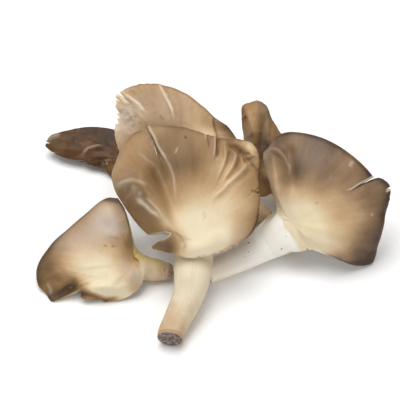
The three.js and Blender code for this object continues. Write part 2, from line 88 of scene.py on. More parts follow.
def white_walls(strength):
    walls = bpy.data.worlds.new("white walls")
    walls.use_nodes = True
    walls.node_tree.nodes["Background"].inputs["Color"].default_value = (1, 1, 1, 1)
    walls.node_tree.nodes["Background"].inputs["Strength"].default_value = strength
    bpy.context.scene.world = walls


def camera_above():
    lens = bpy.data.cameras.new("camera")
    lens.sensor_width = SENSOR
    lens.lens = SENSOR * VIEW_DISTANCE / VIEW_WIDTH
    lens.clip_start = 0.01
    camera = bpy.data.objects.new("camera", lens)
    camera.location = VIEW_MIDDLE + VIEW_DISTANCE * Vector((0, -cos(VIEW_DOWN), sin(VIEW_DOWN)))
    camera.rotation_euler = (pi / 2 - VIEW_DOWN, 0, 0)
    bpy.context.scene.collection.objects.link(camera)
    bpy.context.scene.camera = camera


white_table()
white_walls(WALL_BRIGHTNESS)
soft_box("window light", (-0.18, 0.2, 1.12), WINDOW_POWER)
soft_box("front fill", (0.5, -1.2, 0.7), FILL_POWER)
camera_above()
bpy.context.scene.view_settings.view_transform = "Standard"
bpy.context.scene.view_settings.look = "None"

# ---- Centre mushroom ----
#
# The largest mushroom, lying on its stem with the cap turned up to the viewer. It grew as one
# piece: a fan-shaped cap whose skin is tan, pale at the heart and rolled down on the left, cream
# gills that run on to the stem, and a stem cut off at a dirty foot.

HEAP_MIDDLE = np.array([6.6, 81.8, 0])  # the origin, in the frame in which the mushrooms are placed

RIM_FLESH = 1.5  # thickness of a cap at its rim, and at its heart
HEART_FLESH = 7
RIM_BULGE = 0.55  # how far the rounded rim stands out, as a share of its thickness
SWELLS = 0.22  # height of the broad unevenness of a cap
CREASE_WANDER = 0.4  # how far a crease strays from its drawn line
CLOUDS = 0.06  # change of tone in broad clouds
SLIP_SPREAD = 18  # degrees to each side of a tear over which its step dies out
COLUMN_EVENNESS = 18  # length added to each spoke when the columns are shared out

GILL_DEPTH = 2.6
GILL_THINNING = 0.35  # share of its depth that a gill loses before the neck
STEM_GILL_DEPTH = 0.35  # depth of the gills at the top of the stem
WHOLE_GILL = 9.0  # how far in from the rim each kind of gill runs: past 1, it goes on to the stem
HALF_GILL = 0.62
SHORT_GILL = 0.3
GILLED_REACH = (12, 30)  # spokes up to the first length have no gills, past the second full ones
NECK_SWELL = 5  # distance from the stem at which the underside starts to turn down into it
OUTERMOST_NECK = 0.7  # no neck starts further out than this share of a spoke
NECK_BEND = 1.2  # how long a bridge keeps to the direction that it arrives in

UNTORN = 0.4  # share of each spoke that no tear reaches
MELT_COLOR = (0.3, 0.8)  # shares of a melting spoke between which cap skin turns to stem flesh
CURL_START = 0.5  # share of a spoke past which it may curl under
STEEPEST = 0.6  # flesh gets no deeper on skin that is turned away further than this
SPOKE_STEPS = 192  # steps in which each spoke's curve is worked out
LAST_TOP_ROW = 0.985  # share of a spoke at which the top ends and the rounded rim starts
TOP_ROWS = np.concatenate([[0.05, 0.1], np.linspace(0.14, 0.38, 9), np.linspace(0.41, LAST_TOP_ROW, 60)])
THINNED = ((0.12, 8), (0.25, 4), (UNTORN, 2))  # up to each share, one column in so many is kept
EDGE_ROWS = 5
UNDERSIDE = (0, 0.02, 0.05, 0.09, 0.14, *np.linspace(0.2, 1, 15))  # rows from the rim to the neck
NECK_ROWS = 12
STEM_TURNS = 56
GILL_RINGS = 15  # stem rings over which the gills die out
STEM_COLOR_FROM = 0.12  # share of the stem at which the gills' colour has given way to the stem's
MELT_RINGS = 16  # stem rings between the neck and the end of a cap that melts into its stem
SWEEP_ROWS = EDGE_ROWS + len(UNDERSIDE) + NECK_ROWS + MELT_RINGS
FAR_UNIT = 50  # distances from the navel reach the materials in this unit

FLESH_ROUGHNESS = 0.62
RELIEF_HEIGHT = 0.00016  # height of the finest fibres and grains, in metres
BLOTCHES_A_METRE = 75
MOTTLES_A_METRE = 420
BRUISES_A_METRE = 95
GRAINS_A_METRE = 420
CRUMBS_A_METRE = 650
SPECKLED = (0.972, 0.976)  # only grains whose random number is past these are dark specks
FIBRE_SHADE = (0.80, 0.70, 0.60)
SPECK_BROWN = (0.06, 0.035, 0.02)

# Sockets of a Mix node, by number, since those for values and for colours share their names.
MIX_FACTOR = 0
MIX_VALUE_A, MIX_VALUE_B, MIX_VALUE_OUT = 2, 3, 0
MIX_COLOR_A, MIX_COLOR_B, MIX_COLOR_OUT = 6, 7, 2

# A cap is drawn by spokes that leave its navel at bearings from the way it fans out. Places on
# it are along the fan and across it, from the navel. Tone runs from 0 for cream to 1 for the
# darkest brown.

centre = dict(
    name="centre_mushroom_body",
    node="centre_mushroom",
    gills=252,
    navel=(-3, 48.3, 39.6),
    faces=(0.05, -0.45, 0.89),  # the way the cap faces
    spreads=(0, 0.89, 0.45),  # and the way it fans out
    stem=[
        # place and radius, from the foot to the neck
        (-16.6, 4.9, 6.8, 7.2),
        (-15.8, 9, 7.3, 7.3),
        (-12, 17.2, 9.4, 7.8),
        (-7.4, 27, 12.8, 8.6),
        (-4.7, 36.6, 17, 9.9),
        (-3.8, 45.3, 20.5, 10.8),
    ],
    foot_edge=0.9,  # how far the foot's edge is rounded
    wrinkles=0,  # height of the wrinkles round the stem
    spokes=[
        # bearing, length, height at the rim, arch, degrees that the rim curls down
        (-131, 11, -3, 1, 0),
        (-106, 17, -7, 2, 0),
        (-93, 24, -12, 4, 5),
        (-77, 27, -17, 7, 15),
        (-62, 43, -18, 9, 20),
        (-46, 68, -13, 9, 20),
        (-27, 73, -3, 4, 10),
        (-8, 67, 3, 2, 10),
        (12, 61, 4, 0, 10),
        (30, 66, 3, -0.6, 20),
        (44, 52, -1, 0, 10),
        (58, 44, -3, 0.3, 10),
        (78, 34, -4, 1, 5),
        (100, 20, -4, 1, 0),
        (126, 12, -3, 1, 0),
        (170, 9, -2, 1, 0),
    ],
    slips=[(-23.2, 0.42, 3)],  # bearing of a tear, its share of the spoke, step across it
    cuts=[
        # bearing, share of the spoke that is left
        [(-24.6, 1), (-23.7, 0.82), (-23.1, 0.62), (-22.9, 0.82), (-22.6, 1)],
        [(-92, 1), (-88.5, 0.87), (-86, 0.65), (-79, 0.53), (-76, 0.5), (-73.5, 0.6), (-73, 0.98), (-72, 1)],
        [(48.3, 1), (48.8, 0.87), (49.2, 1)],
    ],
    bare_tears=1,  # how much bare flesh its tears show
    # bearing, half width, depth of the nibbles
    ragged=[(-92, 16, 0.5), (0, 30, 0.3), (60, 40, 0.35), (120, 30, 1.2), (170, 40, 0.7)],
    # bearing, half width, height, shares of the spoke at which it starts and is full
    folds=[(-12, 5, -0.8, 0.4, 0.9)],
    rolls=[
        # line on the cap, half width, height
        ([(72, -40), (54.5, -36.7), (43.7, -34.2), (30, -31)], 8, 2.5),
        ([(44, -34), (30.5, -30.5), (20.6, -26.4), (14.9, -21.3), (6, -14)], 5, 4.5),
        ([(52, -25), (40.8, -21.2), (32.7, -17.8), (22, -14.9), (12.5, -12.6), (2, -9)], 3.6, -2.6),
        ([(38, -54), (35, -44), (33, -36), (30, -29)], 2.2, 0.9),
        ([(34, -50), (31, -42), (28.5, -35), (27, -30)], 2.2, -1.0),
        ([(27, -44), (26, -36), (24.5, -31)], 2, 0.7),
        ([(58, 22), (54, 28), (50, 33), (45, 36.5), (38, 38.5)], 4.4, 3),
        ([(57, 18), (52.5, 24.5), (49, 28), (45.5, 31), (41, 34.5)], 1.5, -2.2),
        ([(60, 17), (47.4, 17.3), (41.5, 15.5), (31, 11)], 1.3, 1.3),
        ([(55, 21.5), (46.2, 19), (41.5, 17.2), (33, 13)], 1.2, -1.5),
        ([(53, 23.4), (46.3, 22.6), (41.6, 20.6), (31, 14)], 1.3, 1.4),
        ([(50.6, 26.2), (45.4, 25.1), (40.6, 22.9), (33, 17)], 1.2, -1.6),
        ([(48, 31.5), (43.3, 28.8), (39.1, 25.2), (35, 21), (29.1, 15.5), (22, 8)], 1.7, 2.0),
        ([(43, 32.5), (38, 28), (33, 22.5)], 2.0, -0.9),
        ([(66, 11.8), (53.5, 11.5), (44, 9.8)], 1.1, 1.3),
        ([(62, 13.4), (53, 13), (46, 11.8)], 0.8, -1.5),
    ],
    creases=[
        # line on the cap, half width, height, paleness (over 0 pale flesh and painted highlight, under 0
        # painted shade)
        ([(74, -28.8), (59, -22.9), (50.5, -18.5), (42, -14.5)], 0.8, 0.5, 0.4),
        ([(50, -18), (42, -14.2), (36, -12.2), (29, -11.2), (22, -11)], 0.9, 0.35, 0.22),
        ([(72, -30.3), (60, -25.2), (51, -20.6), (45, -17.4)], 0.6, -1.0, -0.2),
        # painted shade down the flank of the left roll, which turns away from the light
        ([(48, -27), (41, -24.5), (33, -22), (22, -19), (14, -15.8), (4, -11)], 3.4, 0, -0.12),
        ([(52, -34), (45, -25.5), (41, -21)], 0.9, 0.3, 0.12),
        ([(66, 6.6), (60, 7.2), (52, 8.6)], 0.45, -0.8, -0.22),
        ([(64, 5.6), (58, 6.8)], 0.6, 0.4, 0.3),
        ([(64, 11.4), (53.5, 11.3), (46, 10)], 0.8, 0, 0.28),
        ([(60, 13.2), (53, 12.9), (47, 11.9)], 0.5, -0.4, -0.25),
        ([(57, 17.6), (47.4, 17.2), (41.5, 15.5), (31, 11)], 0.9, 0, 0.16),
        ([(54, 21.3), (46.2, 19.2), (41.5, 17.4)], 0.9, 0, -0.06),
        ([(53, 23.4), (46.3, 22.6), (41.6, 20.6), (31, 14)], 0.9, 0, 0.2),
        ([(50.6, 26.2), (45.4, 25.1), (40.6, 22.9)], 1.0, 0, -0.08),
        ([(48, 31.5), (43.3, 28.8), (39.1, 25.2), (35, 21), (29.1, 15.5), (22, 8)], 1.0, 0, 0.36),
        ([(56, 20), (53, 24.4), (49.4, 28), (46, 31)], 0.9, -0.4, -0.14),
        ([(46.5, 29.5), (47.4, 31.5), (48, 34)], 0.4, -0.5, -0.25),
        ([(46, 30.5), (43, 32.8), (39.5, 36)], 0.8, -0.6, -0.2),
        ([(17, 5), (14, 5.6), (11, 8)], 0.35, -0.15, -0.2),
        ([(54, -9.5), (50, -12)], 0.5, -0.3, 0.3),
        ([(60.5, -6), (58.5, -5)], 0.5, -0.4, -0.3),
        ([(28.5, 38), (29.6, 35.4), (30.4, 31.5)], 0.4, -0.5, -0.5),
        # painted shade in the crease under the knob
        ([(56.5, 18), (54, 21.5), (52, 24.6), (49.5, 27.6), (46, 29.6), (42, 30)], 1.0, -0.6, -0.2),
        ([(49.6, 28), (49.8, 30), (48.4, 32)], 0.4, -0.5, -0.35),
        ([(37.5, -47), (34.8, -38), (31.3, -30.8), (29, -26)], 1.1, 0.3, 0.26),
        # painted highlights along the crest of the left roll
        ([(25, -34), (18.8, -27.8), (14.7, -24), (9.5, -18)], 0.8, 0.4, 0.6),
        ([(23, -28.5), (17.8, -23.6), (12.9, -19.8), (9, -16)], 0.6, 0.3, 0.3),
        ([(31.5, -36), (28, -33.5)], 1.0, 0.2, 0.2),
        ([(26, -32), (23.5, -30)], 1.0, 0.2, 0.2),
        ([(4.5, -11.5), (0.5, -7.6), (-4, -5.4), (-7, -7.5)], 0.9, -0.4, -0.15),
        ([(2, -23), (0.5, -17), (3, -12)], 0.8, 0.2, 0.4),
        ([(-7, -7.5), (-4, -6.5), (-1, -7)], 0.8, 0.3, 0.3),
    ],
    crumples=[
        # place on the cap, radius, height, size of the lumps
        (51, 29, 9, 0.6, 3.6),
        (26, -36, 16, 0.4, 6),
    ],
    heart=(5, 6, 24, 24),  # place of the pale heart, its reach along and across
    browns=(0.66, 0.62),  # tone around the heart, and at the rim
    washes=[
        # place on the cap, reach along and across, turn, change of tone
        (52, -8, 18, 16, 0, 0.16),
        (0, -18, 8, 9, 0, 0.42),
        (-4, -14, 7, 4, 0, 0.2),
        (50, -38, 14, 8, 38, -0.16),
        (29, -39, 7, 6, 38, 0.12),
        # painted shade down the flank of the left roll
        (16, -26, 12, 5, -30, 0.10),
        # painted shade in the notch beside the knob, then a painted highlight on the knob's top
        (50, 26, 7, 3.5, 50, 0.12),
        (54, 31, 6, 5, 0, -0.5),
        (41, 20, 7, 8, 20, -0.2),
        (30, 25, 12, 9, 40, -0.12),
        (44, 14, 12, 9, 20, -0.22),
        (57, 3, 8, 10, 0, -0.16),
        (12, 30, 10, 6, 90, 0.10),
        (-2, 8, 6, 12, 0, -0.05),
        (52, -47, 14, 6, 30, -0.16),
        (-6, -13, 4, 5, 0, 0.24),
        # painted highlight at the end of the roll's crest
        (9, -17, 5, 3, -30, -0.3),
        (4, 26, 5, 6, 0, 0.16),
    ],
    # bearing, half width, reach in from the rim, change of tone
    # the first two rims are painted shade, where the right and lower rim turns down and away
    rims=[(80, 24, 4, 0.22), (88, 34, 1.1, 0.4), (0, 40, 1.6, 0.22), (136, 26, 0.5, 0.5)],
    # as the washes, warmer above 0 and cooler below it
    tints=[(0, 26, 10, 8, 0, -0.35), (45, 10, 10, 6, 0, -0.15), (48, -40, 14, 8, 0, 0.15)],
    # as the washes, how moist the skin shines
    shines=[(20, -28, 12, 2.0, -40, 0.45), (35, -42, 2.0, 9, 0, 0.3), (44, 28, 8, 8, 0, 0.15)],
    melts=[],  # bearing and half width where the cap melts into its stem without a rim
    # share of the stem, bearing, reach along and round, strength
    stains=[(0.97, 0, 0.025, 400, 0.75), (0.5, 0, 0.5, 400, 0.06)],
    seed=11,
)


def turn_between(start, end):
    """The shorter way round from one bearing to another, from -180 to 180 degrees."""
    return (end - start + 180) % 360 - 180


def smooth(value, low, high):
    """Goes from 0 at the low value to 1 at the high one, with no corner on the way."""
    t = np.clip((value - low) / (high - low), 0, 1)
    return t * t * (3 - 2 * t)


def hump(away, half_width, power=2):
    """1 in the middle, falling off to both sides, with a flatter top at a higher power."""
    return np.exp(-((away / half_width) ** power))


def unit(v):
    v = np.asarray(v, float)
    return v / np.linalg.norm(v, axis=-1, keepdims=True)


def lattice_value(i, j, k, seed):
    """A number from -1 to 1 for each corner of a lattice of cubes."""
    mixed = i * 374761393 + j * 668265263 + k * 2147483647 + seed * 1274126177
    mixed = (mixed ^ (mixed >> 13)) * 1274126177 & 0xFFFFFFFF
    return ((mixed ^ (mixed >> 16)) & 0xFFFF) / 32767.5 - 1


def grain(points, seed, size=1.0):
    """Smooth noise from -1 to 1 over points in space, with lumps of the given size.

    Each use adds a number of its own to the mushroom's seed, so that no two are alike.
    """
    scaled = np.asarray(points, float) / size
    cell = np.floor(scaled).astype(np.int64)
    f = scaled - cell
    f = f * f * f * (f * (f * 6 - 15) + 10)
    total = 0
    for corner in range(8):
        a, b, c = corner & 1, corner >> 1 & 1, corner >> 2
        weight = (
            np.where(a, f[..., 0], 1 - f[..., 0])
            * np.where(b, f[..., 1], 1 - f[..., 1])
            * np.where(c, f[..., 2], 1 - f[..., 2])
        )
        value = lattice_value(cell[..., 0] + a, cell[..., 1] + b, cell[..., 2] + c, seed)
        total = total + weight * value
    return total


def around_navel(spokes, column, bearings):
    """One column of the spoke table as a smooth closed curve that never overshoots a spoke."""
    table = np.array(spokes, float)
    knots, values = table[:, 0], table[:, column]
    spans = np.diff(np.append(knots, knots[0] + 360))
    rises = np.diff(np.append(values, values[0])) / spans
    before = np.roll(rises, 1)
    both = before * rises
    slopes = np.where(both > 0, 2 * both / np.where(both > 0, before + rises, 1), 0)
    wrapped = knots[0] + (np.asarray(bearings) - knots[0]) % 360
    i = np.searchsorted(knots, wrapped, side="right") - 1
    j = (i + 1) % len(knots)
    s = (wrapped - knots[i]) / spans[i]
    return (
        (1 + 2 * s) * (1 - s) ** 2 * values[i]
        + s * s * (3 - 2 * s) * values[j]
        + s * (1 - s) ** 2 * spans[i] * slopes[i]
        + s * s * (s - 1) * spans[i] * slopes[j]
    )


def distance_to_line(p, q, line):
    """How far points of the cap's plane lie from a drawn line, and how far along it they are."""
    line = np.array(line, float)
    lengths = np.linalg.norm(np.diff(line, axis=0), axis=1)
    starts = np.concatenate([[0], np.cumsum(lengths)])
    nearest = np.full(np.shape(p), 1e9)
    along = np.zeros(np.shape(p))
    for i, length in enumerate(lengths):
        (ax, ay), (bx, by) = line[i], line[i + 1]
        t = np.clip(((p - ax) * (bx - ax) + (q - ay) * (by - ay)) / length**2, 0, 1)
        away = np.hypot(p - ax - t * (bx - ax), q - ay - t * (by - ay))
        closer = away < nearest
        along = np.where(closer, (starts[i] + t * length) / starts[-1], along)
        nearest = np.where(closer, away, nearest)
    return nearest, along


def taper(along):
    """Fades a drawn ridge or crease out over its first and last quarter."""
    return smooth(np.minimum(along, 1 - along), 0, 0.25)


class Cap:
    """The shape of one cap: where each bearing and share of its spokes lies."""

    def __init__(self, piece, bearings):
        self.piece = piece
        self.bearings = bearings
        self.up = unit(piece["faces"])
        spreads = np.array(piece["spreads"], float)
        self.fan = unit(spreads - self.up * (spreads @ self.up))
        self.side = np.cross(self.fan, self.up)
        self.heart = np.array(piece["navel"], float)
        self.reach = around_navel(piece["spokes"], 1, bearings)
        self.torn = self.spoke_curves(True)
        self.whole = self.spoke_curves(False)

    def in_plane(self, share):
        """How far points lie from the navel, and where they are in the plane of the cap."""
        angle = np.radians(self.bearings)[:, None]
        far = self.reach[:, None] * share
        return far, far * np.cos(angle), far * np.sin(angle)

    def spoke_curves(self, torn):
        """Way out and height over the navel along each spoke, at even steps of its length."""
        piece = self.piece
        share = np.linspace(0, 1, SPOKE_STEPS + 1)
        lift, belly, curl = (
            around_navel(piece["spokes"], column, self.bearings)[:, None] for column in (2, 3, 4)
        )
        height = lift * share**2 + belly * (4 * share * (1 - share)) ** 2
        for at, half_width, rise, start, full in piece["folds"]:
            ridge = hump(turn_between(at, self.bearings), half_width)[:, None]
            height = height + rise * ridge * smooth(share, start, full)
        _, p, q = self.in_plane(share)
        for line, half_width, rise in piece["rolls"]:
            away, along = distance_to_line(p, q, line)
            height = height + rise * hump(away, half_width) * taper(along)
        if torn:
            for at, depth, step in piece["slips"]:
                away = turn_between(at, self.bearings)[:, None]
                slip = 0.5 * step * np.sign(away) * np.exp(-abs(away) / SLIP_SPREAD)
                height = height + slip * smooth(share, 1 - depth, 1)
        middle = (share[1:] + share[:-1]) / 2
        turn = np.radians(curl) * np.maximum(0, (middle - CURL_START) / (1 - CURL_START)) ** 2
        run = self.reach[:, None] / SPOKE_STEPS
        rise = np.diff(height, axis=1)
        out = np.cumsum(run * np.cos(turn) + rise * np.sin(turn), axis=1)
        up = np.cumsum(rise * np.cos(turn) - run * np.sin(turn), axis=1)
        return np.pad(out, ((0, 0), (1, 0))), np.pad(up, ((0, 0), (1, 0)))

    def point(self, share, torn=True):
        """Points on the cap's top: share has a row for each bearing and a column for each ring."""
        out, up = self.torn if torn else self.whole
        place = np.clip(share, 0, 1) * SPOKE_STEPS
        step = np.minimum(place.astype(int), SPOKE_STEPS - 1)
        part = place - step
        spoke = np.arange(len(self.bearings))[:, None]
        out = out[spoke, step] * (1 - part) + out[spoke, step + 1] * part
        up = up[spoke, step] * (1 - part) + up[spoke, step + 1] * part
        angle = np.radians(self.bearings)[:, None]
        return (
            self.heart
            + (out * np.cos(angle))[..., None] * self.fan
            + (out * np.sin(angle))[..., None] * self.side
            + up[..., None] * self.up
        )

    def ring(self, share):
        """One point on each spoke."""
        return self.point(share[:, None])[:, 0]

    def normals(self, share, torn=True):
        """Directions that stand square on the cap's top."""
        along = self.point(share + 0.01, torn) - self.point(share - 0.01, torn)
        there = self.point(share, torn)
        across = np.roll(there, -1, axis=0) - np.roll(there, 1, axis=0)
        square = np.cross(along, across)
        square = square / np.maximum(np.linalg.norm(square, axis=-1, keepdims=True), 1e-9)
        return square * np.sign(square @ self.up)[..., None]

    def steepness(self, share):
        """Falls below 1 as the cap turns away from its own up: flesh is that much deeper there."""
        return np.maximum(STEEPEST, abs(self.normals(share, False) @ self.up))

    def rim_share(self):
        """The share of each spoke at which the torn and ragged rim stands."""
        angle = np.radians(self.bearings)
        around = np.stack([np.cos(angle), np.sin(angle), 0 * angle], -1)
        seed = self.piece["seed"]
        nibbles = abs(grain(around, seed + 20, 0.05)) + 0.6 * abs(grain(around, seed + 21, 0.02))
        nibbles = nibbles * (0.9 + 0.9 * grain(around, seed + 22, 0.11))
        deepest = np.zeros(len(self.bearings))
        for at, half_width, depth in self.piece["ragged"]:
            near = hump(turn_between(at, self.bearings), half_width)
            deepest = np.maximum(deepest, depth * near)
        share = 1 - deepest * nibbles / self.reach
        for cut in self.piece["cuts"]:
            knots = np.array(cut, float)
            first = knots[0, 0]
            share *= np.interp(turn_between(first, self.bearings), knots[:, 0] - first, knots[:, 1])
        return share


def column_bearings(piece):
    """Bearings of a mushroom's columns, two for each gill, closer together where spokes are long.

    A column stands at every corner of a tear. The number of gills divides by four, since rows near
    the navel keep one column in eight.
    """
    degree = np.linspace(-180, 180, 3601)
    reach = around_navel(piece["spokes"], 1, degree)
    passed = np.concatenate([[0], np.cumsum((reach[1:] + reach[:-1]) / 2 + COLUMN_EVENNESS)])
    columns = 2 * piece["gills"]
    bearings = np.interp(np.arange(columns) / columns * passed[-1], passed, degree)
    for cut in piece["cuts"]:
        for at, _ in cut:
            bearings[np.argmin(abs(turn_between(at, bearings)))] = at
    return bearings


Ring = namedtuple("Ring", "centre radius axis fan side")


def stem_rings(piece, cap, rings):
    """The rings of the stem, from the neck down to the foot."""
    knots = np.array(piece["stem"], float)
    padded = np.vstack([2 * knots[0] - knots[1], knots, 2 * knots[-1] - knots[-2]])

    def along(share):
        place = np.clip(share, 0, 1) * (len(knots) - 1)
        i = min(len(knots) - 2, int(place))
        s = place - i
        a, b, c, d = padded[i : i + 4]
        return b + 0.5 * s * (c - a + s * (2 * a - 5 * b + 4 * c - d + s * (3 * (b - c) + d - a)))

    made = []
    axis, fan, side = cap.up, cap.fan, cap.side
    for row in range(rings + 1):
        share = 1 - row / rings
        *middle, radius = along(share)
        ahead = unit((along(share + 0.05) - along(share - 0.05))[:3])
        turn = Vector(axis).rotation_difference(Vector(ahead))
        fan, side = np.array(turn @ Vector(fan)), np.array(turn @ Vector(side))
        axis = ahead
        made.append(Ring(np.array(middle), radius, axis, fan, side))
    return made


def on_ring(ring, bearings, scale=1.0, down=0.0):
    """Points round a ring, at a scale of its radius and a distance down the stem."""
    angle = np.radians(bearings)[:, None]
    scale = np.reshape(scale, (-1, 1))
    down = np.reshape(down, (-1, 1))
    out = np.cos(angle) * ring.fan + np.sin(angle) * ring.side
    return ring.centre + ring.radius * scale * out - ring.axis * down


def relief(piece, cap, share):
    """Height of the fine forms over the cap's top, and how much paler or darker they are painted: pale flesh
    and painted highlight on ridges, painted shade in grooves.
    """
    far, p, q = cap.in_plane(share)
    height = np.zeros_like(p)
    pale = np.zeros_like(p)
    dark = np.zeros_like(p)
    flat = np.stack([p, q, 0 * p], -1)
    bent_p = p + CREASE_WANDER * grain(flat, piece["seed"] + 3, 5)
    bent_q = q + CREASE_WANDER * grain(flat, piece["seed"] + 4, 5)
    for line, half_width, rise, paleness in piece["creases"]:
        away, along = distance_to_line(bent_p, bent_q, line)
        ridge = hump(away, half_width) * taper(along)
        height += rise * ridge
        pale = np.maximum(pale, paleness * ridge)
        dark = np.maximum(dark, -paleness * ridge)
    for at_p, at_q, radius, rise, size in piece["crumples"]:
        near = np.exp(-((p - at_p) ** 2 + (q - at_q) ** 2) / radius**2)
        folded = 1 - 2 * abs(grain(flat, piece["seed"] + 9, size))
        height += rise * near * (folded + 0.4 * grain(flat, piece["seed"] + 10, 0.4 * size))
    height += SWELLS * grain(flat, piece["seed"] + 1, 9) * smooth(far, 6, 25)
    return height, pale, dark


def washed(p, q, washes):
    """Soft oval patches over the cap, added up."""
    total = np.zeros_like(p)
    for at_p, at_q, long, wide, turn, change in washes:
        c, s = cos(radians(turn)), sin(radians(turn))
        u, v = (p - at_p) * c + (q - at_q) * s, (q - at_q) * c - (p - at_p) * s
        total += change * np.exp(-((u / long) ** 2) - (v / wide) ** 2)
    return total


def tone(piece, cap, share):
    """How brown the skin is, from 0 for cream to 1 for the darkest, and its tint and shine; some washes and
    rims add painted shade and painted highlight.
    """
    _, p, q = cap.in_plane(share)
    at_p, at_q, long, wide = piece["heart"]
    middle, rim = piece["browns"]
    away = np.hypot((p - at_p) / long, (q - at_q) / wide)
    brown = middle * smooth(away, 0.35, 1.75) + (rim - middle) * smooth(share, 0.75, 1)
    brown = brown + washed(p, q, piece["washes"])
    brown = brown + CLOUDS * grain(np.stack([p, q, 0 * p], -1), piece["seed"] + 2, 11)
    for at, half_width, deep, change in piece["rims"]:
        near = hump(turn_between(at, cap.bearings), half_width, 4)[:, None]
        brown = brown + change * near * hump((1 - share) * cap.reach[:, None], deep)
    return np.clip(brown, 0, 1), washed(p, q, piece["tints"]), washed(p, q, piece["shines"])


def stained(piece, bearings, down):
    """How stained the stem is, at a share of its length; on the back right mushroom this is painted shade."""
    total = np.zeros(len(bearings))
    for at_down, at, long, half_width, change in piece["stains"]:
        total += change * hump(turn_between(at, bearings), half_width) * hump(down - at_down, long)
    return total


class Skin:
    """Collects the rows of a mesh, with what the materials need to know at each vertex."""

    FIELDS = (
        "top",
        "far",
        "stemwards",
        "cut",
        "pale",
        "tone",
        "tint",
        "shine",
        "gill",
        "bearing_cos",
        "bearing_sin",
    )

    def __init__(self, bearings):
        angle = np.radians(bearings)
        self.columns = len(bearings)
        self.spokes = {"bearing_cos": np.cos(angle), "bearing_sin": np.sin(angle)}
        self.points, self.faces = [], []
        self.fields = {name: [] for name in self.FIELDS}
        self.count = 0

    def row(self, places, every=1, **fields):
        """Adds a row of vertices, one for each column, or one for every so many."""
        chosen = np.arange(0, self.columns, every)
        fields = {**self.spokes, **fields}
        for name in self.FIELDS:
            value = np.asarray(fields.get(name, 0.0), float)
            self.fields[name].append(np.broadcast_to(value, self.columns)[chosen])
        self.points.append(places[chosen])
        made = np.arange(self.count, self.count + len(chosen))
        self.count += len(chosen)
        return made

    def single(self, place, **fields):
        self.points.append(place[None])
        for name in self.FIELDS:
            self.fields[name].append(np.array([fields.get(name, 0.0)]))
        self.count += 1
        return self.count - 1

    def join(self, a, b):
        """Joins two rows with faces; where one has half the columns, it fans out between them."""
        if len(a) == len(b):
            self.faces += list(zip(a, np.roll(a, -1), np.roll(b, -1), b))
            return
        few, many, flip = (a, b, False) if len(a) < len(b) else (b, a, True)
        starts, halfway, ends = many[0::2], many[1::2], np.roll(many[0::2], -1)
        for f, g, x, y, z in zip(few, np.roll(few, -1), starts, halfway, ends):
            triangles = [(f, y, x), (f, g, y), (g, z, y)]
            self.faces += [t[::-1] for t in triangles] if flip else triangles

    def close(self, row, middle, outward):
        """Closes a row with a fan of faces round a single vertex."""
        after = np.roll(row, -1)
        self.faces += [(middle, n, v) if outward else (middle, v, n) for v, n in zip(row, after)]


def bridge(a, out, b, into, share):
    """A smooth way from one row of points to another, by the directions it leaves and arrives in."""
    size = np.linalg.norm(b - a, axis=-1, keepdims=True)
    s = share
    return (
        (1 + 2 * s) * (1 - s) ** 2 * a
        + s * s * (3 - 2 * s) * b
        + s * (1 - s) ** 2 * size * out
        + s * s * (s - 1) * size * NECK_BEND * into
    )


